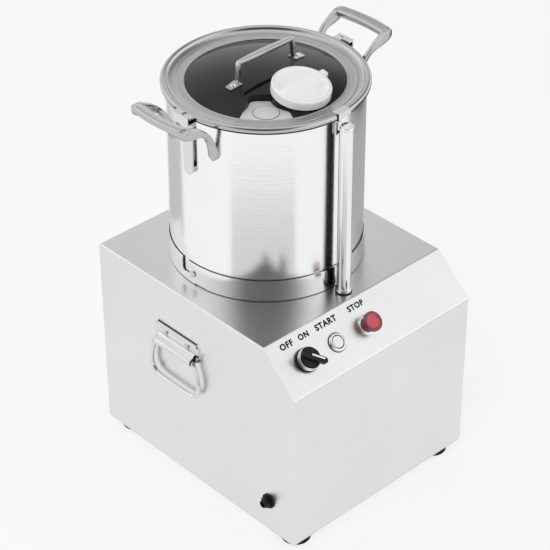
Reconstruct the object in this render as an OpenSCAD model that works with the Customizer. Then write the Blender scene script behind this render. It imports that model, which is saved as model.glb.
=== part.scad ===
// Electric food chopper: a tall pot with a domed lid on a stainless motor base.
// Origin: centre of the base footprint on the floor. +Z up, the control panel faces -Y.

/* [Base housing] */
// Width of the base, left to right
base_w = 360; // [330:1:420]
// Depth of the base, front to back
base_d = 424; // [400:1:480]
// Height of the folded housing above the feet
body_h = 339.5; // [332:0.5:390]
// Horizontal run of the sloped control panel
panel_run = 64; // [58:1:72]
// Drop of the sloped control panel
panel_drop = 59; // [52:1:68]
// Sheet thickness
sheet_t = 1.5; // [1.2:0.1:2]
// Outside bend radius of the upper edges
bend_r = 3; // [2:0.5:4]
// Outside bend radius of the returned lower edge
lower_r = 14; // [8:0.5:15]
// Width of the flange turned in under the base
flange_w = 56; // [53:1:60]

/* [Feet] */
// Height of a rubber foot
foot_h = 7.5; // [7:0.5:12]
// Largest radius of a rubber foot
foot_r = 19; // [16:0.5:20]
// Distance of a foot's centre from the left and right faces
foot_in_x = 32; // [30:0.5:34]
// Distance of a foot's centre from the front and back faces
foot_in_y = 28.5; // [28:0.5:32]

/* [Pot] */
// Pot axis behind the middle of the base
pot_back = 36; // [32:1:40]
// Outer radius of the pot wall
pot_r = 144; // [138:0.5:146]
// Wall thickness of the pot
pot_t = 1.5; // [1.2:0.1:2]
// Height of the pot wall
pot_h = 283.7; // [270:0.1:300]
// Outer radius of the centre tube in the pot
tube_r = 30; // [29:0.5:31]
// Height of the centre tube above the pot floor
tube_h = 73; // [60:1:80]

/* [Seat ring] */
// Height of the seat ring above the base
collar_h = 35.5; // [32:0.5:40]
// Gap between the pot and the seat ring
collar_gap = 1.2; // [1:0.1:1.6]
// Bayonet pin radius
pin_r = 4; // [3.5:0.1:4.5]
// Bayonet pin height above the base
pin_z = 17.8; // [16:0.1:19]
// Turn that frees the pot, in degrees
pot_turn = 8; // [7:0.5:9]

/* [Lid] */
// Width of the flat ring round the window
ring_flat = 16; // [14:0.5:18]
// Distance of the ring's upright wall inside the pot wall
ring_in = 12; // [11.5:0.1:13]
// Rise of the window dome
dome_h = 16.4; // [14:0.2:19]
// Window thickness
window_t = 4; // [3:0.5:5]
// Radius of the lid bead section
bead_r = 4.75; // [4.5:0.05:5]
// Thickness of the lid ring
lid_t = 1.2; // [1:0.1:1.4]
// Height of the lid handle above the window edge
grip_rise = 49; // [46:1:56]
// Half the distance between the legs of the lid handle
grip_half = 51; // [46:1:53]

/* [Feed opening] */
// Distance of the feed opening from the lid axis
feed_off = 72; // [71:0.5:73]
// Inner radius of the feed neck
feed_r = 34; // [30:0.5:35]
// Outer radius of the feed cap
cap_r = 45; // [44:0.5:46]
// Height of the feed cap
cap_h = 17; // [14:0.5:20]

/* [Port plate] */
// Direction of the port plate about the lid axis
port_az = -132.6; // [-134:0.2:-132]
// Distance of the port disc from the lid axis
port_off = 95.5; // [94:0.5:96.5]
// Radius of the port disc
port_r = 18.5; // [16:0.5:19]

/* [Interlock post] */
// Radius of the post
post_r = 10.6; // [10.2:0.1:12]
// Clear gap between the seat ring and the post
post_gap = 6.1; // [4.5:0.1:7]
// Height of the post above the base
post_h = 278.5; // [262:0.5:280]

/* [Side handles] */
// Height of the bail hinge above the floor
bail_z = 245; // [200:1:260]
// Radius of the bail rod
bail_rod_r = 3.6; // [3:0.1:4]
// Drop of the bail from its hinge
bail_drop = 64; // [60:1:80]
// Greatest half width of the bail
bail_half = 53; // [50:1:58]
// Length of the hinge barrel
barrel_len = 76; // [70:1:80]

/* [Controls] */
// Height of the control row, measured up the panel
row_s = 42; // [38:0.5:46]
// Selector place, left to right
selector_x = -127; // [-132:1:-118]
// Start button place, left to right
start_x = -66; // [-72:1:-60]
// Stop button place, left to right
stop_x = -4; // [-10:1:6]
// Radius of the panel holes
hole_r = 11.2; // [11:0.1:11.6]

/* [Cable inlet] */
// Gland height above the floor
gland_z = 72; // [68:1:84]
// Gland distance behind the front face
gland_in = 53; // [46:1:66]
// Cord bore radius of the gland
cord_r = 4; // [3.5:0.1:4.3]

/* [Motor] */
// Shaft radius
shaft_r = 12.5; // [11:0.1:13]
// Motor frame radius
frame_r = 80; // [76:1:84]
// Motor frame length
frame_h = 185; // [170:1:195]

/* [Cutter] */
// Sweep radius of the knives
knife_r = 135; // [126:1:137]
// Knife thickness
knife_t = 3; // [2.5:0.1:3.5]
// Rise from the lower knife to the upper knife
knife_step = 25; // [20:1:28]

/* [Hidden] */
$fn = 96;

// Clearances
air = 0.3;
run_gap = 0.06;
slack = 0.4;

// Base levels
top_z = foot_h + body_h;
roof_z = top_z - sheet_t;
panel_z = top_z - panel_drop;
panel_len = norm([panel_run, panel_drop]);
panel_tilt = atan2(panel_drop, panel_run);
flange_z = foot_h + sheet_t;
front_y = -base_d / 2;

// Pot levels
collar_in = pot_r + collar_gap;
collar_out = collar_in + sheet_t;
ledge_t = 2;
pot_z = top_z + ledge_t + air;
pot_floor_t = 2;
floor_z = pot_z + pot_floor_t;
rim_z = pot_z + pot_h;

// Lid levels
bead_c = pot_r + 1.75;
bead_z = rim_z + 1.6;
lid_out = bead_c + bead_r;
flat_z = rim_z - 1;
flat_r = pot_r - ring_in;
window_r = flat_r - ring_flat;
dome_r = (window_r * window_r + dome_h * dome_h) / (2 * dome_h);
dome_c = flat_z + dome_h - dome_r;
port_z = flat_z - 2.2;
function dome_z(r) = dome_c + sqrt(dome_r * dome_r - r * r);

// Post
post_off = collar_out + post_gap + post_r;
post_top = top_z + post_h;
post_t = 1.5;
post_wall_in = post_r - post_t;

// Bends and arcs in outlines
function unit(v) = v / norm(v);
function arc(c, r, a0, a1, n) =
    [for (i = [0 : n]) c + r * [cos(a0 + (a1 - a0) * i / n), sin(a0 + (a1 - a0) * i / n)]];
function corner_arc(a, p, b, r, n = 5) =
    let (u = unit(a - p), v = unit(b - p), half = acos(u * v) / 2)
    let (c = p + unit(u + v) * r / sin(half), s = p + u * r / tan(half), e = p + v * r / tan(half))
    let (a0 = atan2(s[1] - c[1], s[0] - c[0]), a1 = atan2(e[1] - c[1], e[0] - c[0]))
    arc(c, r, a0, a0 + (a1 - a0 + 540) % 360 - 180, n);
function rounded(pts, radii) = [for (i = [0 : len(pts) - 1]) each
    radii[i] == 0 ? [pts[i]]
    : corner_arc(pts[(i + len(pts) - 1) % len(pts)], pts[i], pts[(i + 1) % len(pts)], radii[i])];

module ring(r_out, r_in, h, z = 0) {
    translate([0, 0, z]) difference() {
        cylinder(r = r_out, h = h);
        translate([0, 0, -1]) cylinder(r = r_in, h = h + 2);
    }
}

// Rounded block standing on z, with its corners rounded in plan
module slab(w, d, h, r, z = 0) {
    translate([0, 0, z]) linear_extrude(h) rounded_rect(w, d, r);
}

module rounded_rect(w, d, r) {
    square([w - 2 * r, d], center = true);
    square([w, d - 2 * r], center = true);
    for (x = [-1, 1], y = [-1, 1]) translate([x * (w / 2 - r), y * (d / 2 - r)]) circle(r);
}

// Places children on the pot axis
module on_pot() {
    translate([0, pot_back, 0]) children();
}

// Places children on the panel: x to the right, y up the slope, z outwards
module on_panel(x = 0, s = 0) {
    translate([0, front_y, panel_z]) rotate([panel_tilt, 0, 0]) translate([x, s, 0]) children();
}

// Base housing

// Side outline of the housing, drawn inwards by t
function side_points(t) =
    let (a = t * (panel_len - panel_drop) / panel_run, b = t * (panel_len - panel_run) / panel_drop)
    [[front_y + t, foot_h + t],
     [front_y + t, panel_z + (a * panel_drop - t * panel_run) / panel_len],
     [front_y + panel_run + (t * panel_drop - b * panel_run) / panel_len, top_z - t],
     [-front_y - t, top_z - t],
     [-front_y - t, foot_h + t]];

module housing_solid(t) {
    w = base_w / 2 - t;
    up = bend_r - t * 0.6;
    low = lower_r - t;
    intersection() {
        rotate([90, 0, 90]) linear_extrude(2 * w, center = true)
            polygon(rounded(side_points(t), [low, up, up, up, low]));
        rotate([90, 0, 0]) linear_extrude(base_d + 2, center = true)
            polygon(rounded([[-w, foot_h + t], [w, foot_h + t], [w, top_z - t], [-w, top_z - t]],
                [low, low, up, up]));
    }
}

module rear_louvres() {
    slot_w = 62;
    slot_h = 4;
    for (x = [-1, 1], i = [0 : 6]) translate([x * 70, base_d / 2, foot_h + 150 + i * 14])
        rotate([90, 0, 0]) linear_extrude(8 * sheet_t, center = true)
            rounded_rect(slot_w, slot_h, slot_h / 2 - 0.01);
}

module base_housing() {
    color("gainsboro") difference() {
        housing_solid(0);
        housing_solid(sheet_t);
        slab(base_w - 2 * flange_w, base_d - 2 * flange_w, 3 * sheet_t, 12, foot_h - sheet_t);
        on_pot() translate([0, 0, roof_z - 1]) cylinder(r = boss_r + 4, h = sheet_t + 2);
        translate([0, pot_back - post_off, roof_z - 1]) cylinder(r = 5, h = sheet_t + 2);
        for (x = [selector_x, start_x, stop_x]) on_panel(x, row_s)
            translate([0, 0, -5]) cylinder(r = hole_r, h = 10);
        for (x = [-1, 1], y = [-1, 1]) translate([x * foot_x, y * foot_y, foot_h - 1])
            cylinder(r = foot_screw_r + 0.3, h = sheet_t + 2);
        translate([-base_w / 2 - 1, gland_y, gland_z]) rotate([0, 90, 0])
            cylinder(r = gland_thread_r + 0.2, h = sheet_t + 2);
        for (x = [-1, 1], y = [-1, 1]) translate([x * base_w / 2, pot_back + y * hinge_screw_half,
            bail_z + hinge_screw_up]) rotate([0, 90, 0])
            cylinder(r = hinge_screw_r + 0.2, h = 4 * sheet_t, center = true);
        rear_louvres();
    }
}

// Bottom plate with vent slots, lying inside on the turned-in flange
plate_w = base_w - 2 * (lower_r + 4);
plate_d = base_d - 2 * (lower_r + 4);

module bottom_plate() {
    color("silver") difference() {
        slab(plate_w, plate_d, sheet_t, 6, flange_z);
        for (x = [-1, 1], i = [0 : 8]) translate([x * 62, pot_back - 64 + i * 16, flange_z - 1])
            linear_extrude(sheet_t + 2) rounded_rect(90, 6, 2.99);
        for (x = [-1, 1], y = [-1, 1]) translate([x * foot_x, y * foot_y, flange_z - 1])
            cylinder(r = foot_screw_r + 0.3, h = sheet_t + 2);
    }
}

// Rubber feet
foot_x = base_w / 2 - foot_in_x;
foot_y = base_d / 2 - foot_in_y;
foot_screw_r = 4;
foot_head_r = 7.5;
foot_sole = 1.5;
foot_head_h = 4;

module rubber_feet() {
    color([0.06, 0.06, 0.06]) for (x = [-1, 1], y = [-1, 1]) translate([x * foot_x, y * foot_y, 0])
        difference() {
            rotate_extrude() polygon(rounded([[0, 0], [foot_r - 0.5, 0], [foot_r, foot_h - 3],
                [foot_r, foot_h], [0, foot_h]], [0, 1.2, 1, 0, 0]));
            translate([0, 0, -1]) cylinder(r = foot_screw_r + 0.3, h = foot_h + 2);
            translate([0, 0, -1]) cylinder(r = foot_head_r + 0.5, h = foot_sole + foot_head_h + 1);
        }
}

module foot_screws() {
    color("gray") for (x = [-1, 1], y = [-1, 1]) translate([x * foot_x, y * foot_y, foot_sole]) {
        cylinder(r = foot_head_r, h = foot_head_h);
        cylinder(r = foot_screw_r, h = foot_h - foot_sole + 2 * sheet_t + 8);
        translate([0, 0, foot_h - foot_sole + 2 * sheet_t]) cylinder(r = 7.5, h = 6, $fn = 6);
    }
}

// Seat ring with its J-slots
slot_half = pin_r + 0.5;

module seat_ring() {
    color("silver") on_pot() difference() {
        union() {
            ring(collar_out, collar_in, collar_h, top_z);
            ring(collar_in + 0.2, collar_in - 14, ledge_t, top_z);
        }
        for (a = [0, 180]) rotate([0, 0, a]) j_slot();
        intersection() {
            ring(collar_out + 1, collar_in + 0.2, 4, top_z - 1);
            rotate([0, 0, 185.6]) translate([0, -10, top_z - 2]) cube([2 * collar_out, 20, 6]);
        }
    }
}

// Upright channel and level rest of a bayonet slot, cut straight through the wall
module j_slot() {
    half = collar_out * sin(pot_turn / 2);
    s = slot_half;
    round_r = 0.9 * s;
    rotate([0, 0, -pot_turn / 2]) translate([collar_in - 3, 0, top_z]) rotate([90, 0, 90])
        linear_extrude(sheet_t + 6) polygon(rounded([[-half - s, collar_h + 1], [-half - s, pin_z - s],
            [half + s, pin_z - s], [half + s, pin_z + s], [-half + s, pin_z + s],
            [-half + s, collar_h + 1]], [0, round_r, round_r, round_r, 1, 0]));
}

// Side carrying handles
hinge_out = 8;
barrel_r = 6.4;
hinge_screw_half = 23.6;
hinge_screw_up = 17;
hinge_screw_r = 2.5;
hinge_t = 2;
hinge_top = 31;
hinge_half = 49;

module mirror_side(side) {
    if (side > 0) children();
    else mirror([1, 0, 0]) children();
}

// Hinge plate for the right side: flat sheet, shoulder and curled barrel
module hinge_plate(side) {
    color("lightgray") mirror_side(side) translate([base_w / 2, pot_back, bail_z]) difference() {
        union() {
            translate([hinge_t / 2, 0, (hinge_top + 2) / 2]) rotate([0, 90, 0])
                linear_extrude(hinge_t, center = true) rounded_rect(hinge_top - 2, 2 * hinge_half, 5);
            translate([hinge_out, 0, 0]) rotate([90, 0, 0])
                cylinder(r = barrel_r, h = barrel_len, center = true);
            rotate([90, 0, 0]) linear_extrude(barrel_len, center = true)
                polygon([[0, 0], [hinge_out, 0], [hinge_out + barrel_r, 0], [hinge_out + 2, 5.2],
                    [hinge_t, 12], [0, 12]]);
        }
        translate([hinge_out, 0, 0]) rotate([90, 0, 0])
            cylinder(r = bail_rod_r + run_gap, h = barrel_len + 2, center = true);
        for (y = [-1, 1]) translate([-1, y * hinge_screw_half, hinge_screw_up])
            rotate([0, 90, 0]) cylinder(r = hinge_screw_r + 0.2, h = hinge_t + 2);
    }
}

module hinge_plate_left() {
    hinge_plate(-1);
}

module hinge_plate_right() {
    hinge_plate(1);
}

module hinge_plate_screws() {
    color("silver") for (side = [-1, 1]) mirror_side(side)
        for (y = [-1, 1]) translate([base_w / 2, pot_back + y * hinge_screw_half,
            bail_z + hinge_screw_up]) rotate([0, 90, 0]) {
            translate([0, 0, -14]) cylinder(r = hinge_screw_r, h = 14 + hinge_t);
            translate([0, 0, -sheet_t - 4]) cylinder(r = 5, h = 4, $fn = 6);
            translate([0, 0, hinge_t]) cylinder(r1 = 5, r2 = 3.6, h = 2.6);
        }
}

// Bail rod, drawn in the y-z plane: straight runs joined by quarter bends
bail_corner_r = 20;

module rod_bend(y, z, r, a) {
    translate([0, y, z]) rotate([90, 0, 90]) rotate([0, 0, a]) rotate_extrude(angle = 90)
        translate([r, 0]) circle(bail_rod_r);
}

module side_bail(side) {
    $fn = 32;
    bend = bail_half - barrel_len / 2 - 3;
    color("silver") mirror_side(side) translate([base_w / 2 + hinge_out, pot_back, bail_z]) {
        rotate([90, 0, 0]) cylinder(r = bail_rod_r, h = 2 * (bail_half - bend), center = true);
        for (m = [0, 1]) mirror([0, m, 0]) {
            rod_bend(bail_half - bend, -bend, bend, 0);
            translate([0, bail_half, -bail_drop + bail_corner_r])
                cylinder(r = bail_rod_r, h = bail_drop - bail_corner_r - bend);
            rod_bend(bail_half - bail_corner_r, -bail_drop + bail_corner_r, bail_corner_r, 270);
        }
        translate([0, 0, -bail_drop]) rotate([90, 0, 0])
            cylinder(r = bail_rod_r, h = 2 * (bail_half - bail_corner_r), center = true);
    }
}

module side_bail_left() {
    side_bail(-1);
}

module side_bail_right() {
    side_bail(1);
}

// Cable gland
gland_y = front_y + gland_in;
gland_thread_r = 9.8;

module on_gland() {
    translate([-base_w / 2, gland_y, gland_z]) rotate([0, -90, 0]) children();
}

module gland_body() {
    color([0.08, 0.08, 0.08]) on_gland() difference() {
        union() {
            translate([0, 0, -14]) cylinder(r = gland_thread_r, h = 15);
            cylinder(r = 12, h = 2.4);
            translate([0, 0, 2.4]) cylinder(r = 6.6, h = 5);
        }
        translate([0, 0, -15]) cylinder(r = cord_r, h = 30);
    }
}

module gland_nut() {
    color([0.08, 0.08, 0.08]) on_gland() difference() {
        union() {
            translate([0, 0, 2.5]) cylinder(r = 9.4, h = 5.5, $fn = 6);
            translate([0, 0, 8]) cylinder(r1 = 7.6, r2 = 5.8, h = 5);
        }
        translate([0, 0, 1]) cylinder(r = 6.6, h = 6.5);
        translate([0, 0, 1]) cylinder(r = cord_r + 0.5, h = 20);
    }
}

// Controls
selector_r = 18.3;
selector_face_r = 15;
selector_h = 13;
start_r = 14.3;
start_button_r = 9;
stop_r = 15.5;
stop_neck_r = 9.4;
stem_r = 7;
barrel_hole_r = hole_r - 0.2;

// Threaded barrel behind the panel with a stem bore
module bezel_barrel() {
    translate([0, 0, -24]) cylinder(r = barrel_hole_r, h = 24.2);
}

module selector_bezel() {
    color("silver") on_panel(selector_x, row_s) difference() {
        union() {
            bezel_barrel();
            cylinder(r = selector_r, h = 2.5);
            translate([0, 0, 2.5]) cylinder(r1 = 17.3, r2 = selector_face_r + 0.9, h = selector_h - 2.5);
        }
        translate([0, 0, -25]) cylinder(r = stem_r + run_gap, h = 60);
        translate([0, 0, selector_h - 3]) cylinder(r = selector_face_r + slack, h = 10);
    }
}

// Lever knob, drawn at OFF with its lever pointing down to the right
lever_az = -25;

module selector_knob() {
    color([0.07, 0.07, 0.07]) on_panel(selector_x, row_s) {
        translate([0, 0, -24]) cylinder(r = stem_r, h = 24 + selector_h - 2);
        translate([0, 0, selector_h - 2.6]) cylinder(r = selector_face_r, h = 5.2);
        rotate([0, 0, lever_az]) translate([0, 0, selector_h + 2]) linear_extrude(6) {
            translate([-11, -5]) square([30, 10]);
            translate([19, 0]) circle(5);
            translate([-11, 0]) circle(5);
        }
    }
}

module start_bezel() {
    color("silver") on_panel(start_x, row_s) difference() {
        union() {
            bezel_barrel();
            cylinder(r = start_r, h = 2.4);
            translate([0, 0, 2.4]) cylinder(r1 = start_r, r2 = start_r - 1.6, h = 1.6);
        }
        translate([0, 0, -25]) cylinder(r = stem_r + run_gap, h = 40);
        translate([0, 0, -3]) cylinder(r = start_button_r + slack, h = 10);
    }
}

module start_button() {
    color("white") on_panel(start_x, row_s) {
        translate([0, 0, -20]) cylinder(r = stem_r, h = 20);
        translate([0, 0, 0.5]) cylinder(r = start_button_r, h = 3.2);
        translate([0, 0, -0.2]) cylinder(r = stem_r, h = 0.9);
    }
}

module stop_bezel() {
    color("silver") on_panel(stop_x, row_s) difference() {
        union() {
            bezel_barrel();
            cylinder(r = stop_r, h = 2.6);
            translate([0, 0, 2.6]) cylinder(r1 = stop_r, r2 = stop_r - 1.2, h = 1.4);
        }
        translate([0, 0, -25]) cylinder(r = stem_r + run_gap, h = 40);
        translate([0, 0, -2]) cylinder(r = stop_neck_r + slack, h = 10);
    }
}

module stop_button() {
    color([0.72, 0.12, 0.18]) on_panel(stop_x, row_s) difference() {
        union() {
            translate([0, 0, -20]) cylinder(r = stem_r, h = 24);
            rotate_extrude() polygon(rounded([[0, 2.4], [stop_neck_r, 2.4], [stop_neck_r, 8],
                [stop_r - 0.1, 12], [stop_r - 0.1, 18], [0, 18]], [0, 0.5, 2, 1.6, 2, 0]));
        }
        translate([0, 0, 16.4]) cylinder(r1 = 10.6, r2 = 11.4, h = 4);
    }
}

module contact_blocks() {
    color([0.25, 0.28, 0.3]) for (x = [selector_x, start_x, stop_x]) on_panel(x, row_s)
        slab(30, 34, 20, 2, -24 - 20.5);
}

// Lock nuts behind the panel and behind the gland
module lock_nuts() {
    color("darkgray") {
        for (x = [selector_x, start_x, stop_x]) on_panel(x, row_s)
            ring(14, barrel_hole_r, 4, -sheet_t - 4);
        on_gland() difference() {
            translate([0, 0, -sheet_t - 5]) cylinder(r = 14, h = 5, $fn = 6);
            translate([0, 0, -sheet_t - 6]) cylinder(r = gland_thread_r, h = 7);
        }
    }
}

// Motor, hung under the roof on the pot axis
mount_t = 6;
boss_r = 24;
shield_t = 10;
bearing_r = 26;
bearing_h = 15;
mount_z = roof_z - mount_t;
shield_z = mount_z - shield_t;
frame_z = shield_z - frame_h;
rear_z = frame_z - shield_t;
core_h = 0.55 * frame_h;
core_z = frame_z + (frame_h - core_h) / 2;
core_r = frame_r - 5;
rotor_r = 45;
bolt_half = 68;
bolt_r = 4;

module mount_plate() {
    color("dimgray") on_pot() difference() {
        slab(190, 190, mount_t, 10, mount_z);
        translate([0, 0, mount_z - 1]) cylinder(r = boss_r + slack, h = mount_t + 2);
        for (x = [-1, 1], y = [-1, 1]) translate([x * bolt_half, y * bolt_half, mount_z - 1])
            cylinder(r = bolt_r, h = mount_t + 2);
    }
}

module motor_top_shield() {
    color("darkgray") on_pot() difference() {
        union() {
            slab(2 * bolt_half + 26, 2 * bolt_half + 26, shield_t, 13, shield_z);
            translate([0, 0, shield_z]) cylinder(r = boss_r, h = pot_z + 6 - shield_z);
            translate([0, 0, shield_z - bearing_h - 2]) cylinder(r = bearing_r + 5, h = bearing_h + 3);
        }
        translate([0, 0, shield_z - bearing_h - 3]) cylinder(r = shaft_r + 2, h = 80);
        translate([0, 0, shield_z - bearing_h - 3]) cylinder(r = bearing_r, h = bearing_h + 3);
        translate([0, 0, pot_z - 2]) cylinder(r = seal_r, h = 20);
        for (x = [-1, 1], y = [-1, 1]) translate([x * bolt_half, y * bolt_half, shield_z - 1])
            cylinder(r = bolt_r, h = shield_t + 2);
    }
}

module motor_frame() {
    rib_n = 24;
    color("slategray") on_pot() translate([0, 0, frame_z]) linear_extrude(frame_h) difference() {
        union() {
            circle(frame_r);
            for (i = [0 : rib_n - 1]) rotate([0, 0, i * 360 / rib_n]) translate([frame_r - 1, -1.2])
                square([7, 2.4]);
        }
        circle(core_r);
    }
}

// Wound stator: core with a winding head at each end
module stator() {
    head_h = 20;
    color("gray") on_pot() rotate_extrude() {
        translate([rotor_r + 0.6, core_z]) square([core_r - rotor_r - 0.6, core_h]);
        for (z = [core_z - head_h, core_z + core_h]) translate([rotor_r + 3, z])
            square([core_r - rotor_r - 7, head_h]);
    }
}

module motor_bottom_shield() {
    color("darkgray") on_pot() difference() {
        union() {
            translate([0, 0, rear_z]) cylinder(r = frame_r + 4, h = shield_t);
            translate([0, 0, frame_z - 1]) cylinder(r = bearing_r + 5, h = bearing_h + 2);
        }
        translate([0, 0, rear_z - 1]) cylinder(r = shaft_r + 2, h = 60);
        translate([0, 0, frame_z + 1]) cylinder(r = bearing_r, h = bearing_h + 3);
    }
}

module flange_bolts() {
    color("gray") on_pot() for (x = [-1, 1], y = [-1, 1])
        translate([x * bolt_half, y * bolt_half, shield_z - 5.3]) {
            cylinder(r = 7.5, h = 5.3, $fn = 6);
            cylinder(r = bolt_r, h = 5.3 + shield_t + mount_t);
        }
}

module bearings() {
    color("silver") on_pot() {
        ring(bearing_r, shaft_r + run_gap, bearing_h, shield_z - bearing_h);
        ring(bearing_r, shaft_r + run_gap, bearing_h, frame_z + 1);
    }
}

seal_r = 20;

module shaft_seal() {
    color([0.15, 0.1, 0.08]) on_pot() ring(seal_r, shaft_r + run_gap, 8, pot_z - 2);
}

fan_h = 18;
fan_gap = 6;
cover_h = fan_h + 2 * fan_gap;
cover_z = rear_z - cover_h;

module fan_cover() {
    color("dimgray") on_pot() difference() {
        translate([0, 0, cover_z]) cylinder(r = frame_r + 4, h = cover_h);
        translate([0, 0, cover_z + 1.5]) cylinder(r = frame_r + 2, h = cover_h);
        for (r = [24, 40, 56], i = [0 : r / 4]) rotate([0, 0, i * 360 / (r / 4 + 1)])
            translate([r, 0, cover_z - 1]) cylinder(r = 4.5, h = 4);
    }
}

module rotor_core() {
    color("gray") on_pot() ring(rotor_r, shaft_r, core_h, core_z);
}

shaft_low = rear_z - fan_gap - fan_h - 2;
hub_top = floor_z + tube_h + 16;
shaft_top = hub_top + 16;

module motor_shaft() {
    color("silver") on_pot() translate([0, 0, shaft_low]) cylinder(r = shaft_r, h = shaft_top - shaft_low);
}

module fan() {
    color([0.2, 0.2, 0.22]) on_pot() difference() {
        union() {
            translate([0, 0, rear_z - fan_gap - fan_h]) cylinder(r = 26, h = fan_h);
            translate([0, 0, rear_z - fan_gap - 2]) cylinder(r = frame_r - 12, h = 2);
            for (i = [0 : 7]) rotate([0, 0, i * 45])
                translate([24, -1, rear_z - fan_gap - fan_h]) cube([frame_r - 37, 2, fan_h]);
        }
        translate([0, 0, rear_z - 60]) cylinder(r = shaft_r, h = 100);
    }
}

// Electrical pieces standing on the bottom plate
deck_z = flange_z + sheet_t;
electric_y = front_y + 80;

module capacitor() {
    color([0.55, 0.6, 0.65]) translate([-70, electric_y, deck_z]) {
        cylinder(r = 22, h = 96);
        translate([0, 0, 96]) cylinder(r = 16, h = 6);
        slab(56, 56, 3, 3, 0);
    }
}

module contactor() {
    color([0.3, 0.32, 0.34]) translate([60, electric_y, deck_z]) {
        slab(46, 72, 60, 2, 0);
        slab(36, 40, 78, 2, 0);
    }
}

// Interlock post
post_ring_h = 5.3;
gasket_h = 2.2;
post_plug = 4.5;

module on_post() {
    translate([0, pot_back - post_off, 0]) children();
}

// Tube with the ring welded round its foot
module post_tube() {
    color("silver") on_post() {
        ring(post_r, post_wall_in, post_h - gasket_h - post_plug, top_z + gasket_h);
        ring(post_r + 1.4, post_wall_in + 0.5, post_ring_h, top_z + gasket_h);
    }
}

module post_cap() {
    color("silver") on_post() difference() {
        union() {
            translate([0, 0, post_top - post_plug]) cylinder(r = post_r, h = post_plug - 1);
            translate([0, 0, post_top - 1]) cylinder(r1 = post_r, r2 = post_r - 1, h = 1);
            translate([0, 0, post_top - post_plug - 6]) cylinder(r = post_wall_in - 0.05, h = 7);
        }
        translate([0, 5.7, post_top - 3]) cylinder(r = 1.6, h = 5);
    }
}

module post_gasket() {
    color([0.06, 0.06, 0.06]) on_post() ring(post_r + 1.8, post_wall_in - 2, gasket_h, top_z);
}

module interlock_sensor() {
    color([0.1, 0.12, 0.3]) on_post() translate([0, 0, post_top - post_plug - 40])
        cylinder(r = post_wall_in - 0.1, h = 30);
}

// Pot
pot_corner_r = 10;

module pot_shell() {
    inner = pot_r - pot_t;
    color("silver") on_pot() rotate_extrude() polygon(rounded([[tube_r + 0.1, pot_z],
        [pot_r, pot_z], [pot_r, rim_z], [inner, rim_z], [inner, floor_z], [tube_r + 0.1, floor_z]],
        [0, pot_corner_r, 0.6, 0.6, pot_corner_r - pot_t, 0]));
}

module centre_tube() {
    wall = 4;
    color("silver") on_pot() rotate_extrude() polygon(rounded([[tube_r - wall, pot_z],
        [tube_r, pot_z], [tube_r, floor_z], [tube_r + 16, floor_z], [tube_r + 16, floor_z + 2],
        [tube_r, floor_z + 4], [tube_r, floor_z + tube_h], [tube_r - wall, floor_z + tube_h]],
        [0, 0, 0, 0, 1, 2, 1, 1]));
}

module bayonet_pins() {
    color("silver") on_pot() for (a = [0, 180]) rotate([0, 0, a])
        translate([pot_r - 0.02, 0, top_z + pin_z]) rotate([0, 90, 0]) {
            cylinder(r = pin_r, h = collar_out + slack - pot_r);
            translate([0, 0, collar_out + slack - pot_r]) cylinder(r = pin_r + 1.4, h = 2);
        }
}

// Cast pot handle for the right side. Heights are counted from the pot rim.
grip_x = 204.5;
handle_az = 1.3;
grip_low = 8;
grip_high = 21;
grip_w = 17;
grip_bow = 260;
grip_half_y = 53;
leg_w = 11;
foot_drop = 58;
foot_lean = 6;

function leg_side() = [for (p = [[110, -foot_drop], [pot_r - 1, -foot_drop], [pot_r + 5, -45],
    [pot_r + 8, -32], [pot_r + 13, -18], [pot_r + 23, -6], [grip_x - 14, -1], [grip_x + 4, grip_low - 4],
    [grip_x + grip_w / 2, grip_low], [grip_x + grip_w / 2, grip_high], [grip_x - grip_w / 2, grip_high - 1.5],
    [pot_r + 32, 12], [pot_r + 18, 2], [pot_r + 7, -11], [pot_r, -27], [110, -30]]) p + [0, rim_z]];
leg_side_radii = [0, 4, 12, 15, 12, 12, 20, 4, 3, 3, 12, 20, 20, 14, 6, 0];

// Front outline of a leg in the y-z plane: it leans inwards and ends in a round foot
function leg_front() = [for (p = [[grip_half_y - leg_w, grip_high + 2], [grip_half_y, grip_high + 2],
    [grip_half_y, grip_low], [grip_half_y - foot_lean + 2, -foot_drop + 18],
    [grip_half_y - foot_lean + 1.5, -foot_drop + 7], [grip_half_y - foot_lean - 12.5, -foot_drop + 7],
    [grip_half_y - foot_lean - 11, -foot_drop + 20], [grip_half_y - leg_w, grip_low - 4]])
    p + [0, rim_z]];

module pot_handle() {
    turn = asin(grip_half_y / (grip_bow + grip_w / 2));
    difference() {
        union() {
            translate([grip_x - grip_bow, 0, rim_z]) rotate([0, 0, -turn])
                rotate_extrude(angle = 2 * turn) polygon(rounded([[grip_bow - grip_w / 2, grip_low + 3],
                    [grip_bow + 2, grip_low], [grip_bow + grip_w / 2, grip_low + 4],
                    [grip_bow + grip_w / 2, grip_high], [grip_bow - 2, grip_high - 2.5],
                    [grip_bow - grip_w / 2, grip_high - 2]], [3, 3, 3, 2, 3, 2]));
            for (m = [0, 1]) mirror([0, m, 0]) intersection() {
                rotate([90, 0, 0]) linear_extrude(3 * grip_half_y, center = true)
                    polygon(rounded(leg_side(), leg_side_radii));
                rotate([90, 0, 90]) linear_extrude(2 * pot_r) {
                    polygon(leg_front());
                    translate([grip_half_y - foot_lean - 5.5, rim_z - foot_drop + 7]) circle(7);
                }
            }
        }
        translate([0, 0, rim_z - 80]) cylinder(r = pot_r, h = 120);
        translate([0, 0, rim_z - 4]) cylinder(r = lid_out + 0.8, h = 60);
    }
}

module pot_handle_left() {
    color("silver") on_pot() rotate([0, 0, 180 + handle_az]) pot_handle();
}

module pot_handle_right() {
    color("silver") on_pot() rotate([0, 0, handle_az]) pot_handle();
}

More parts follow.
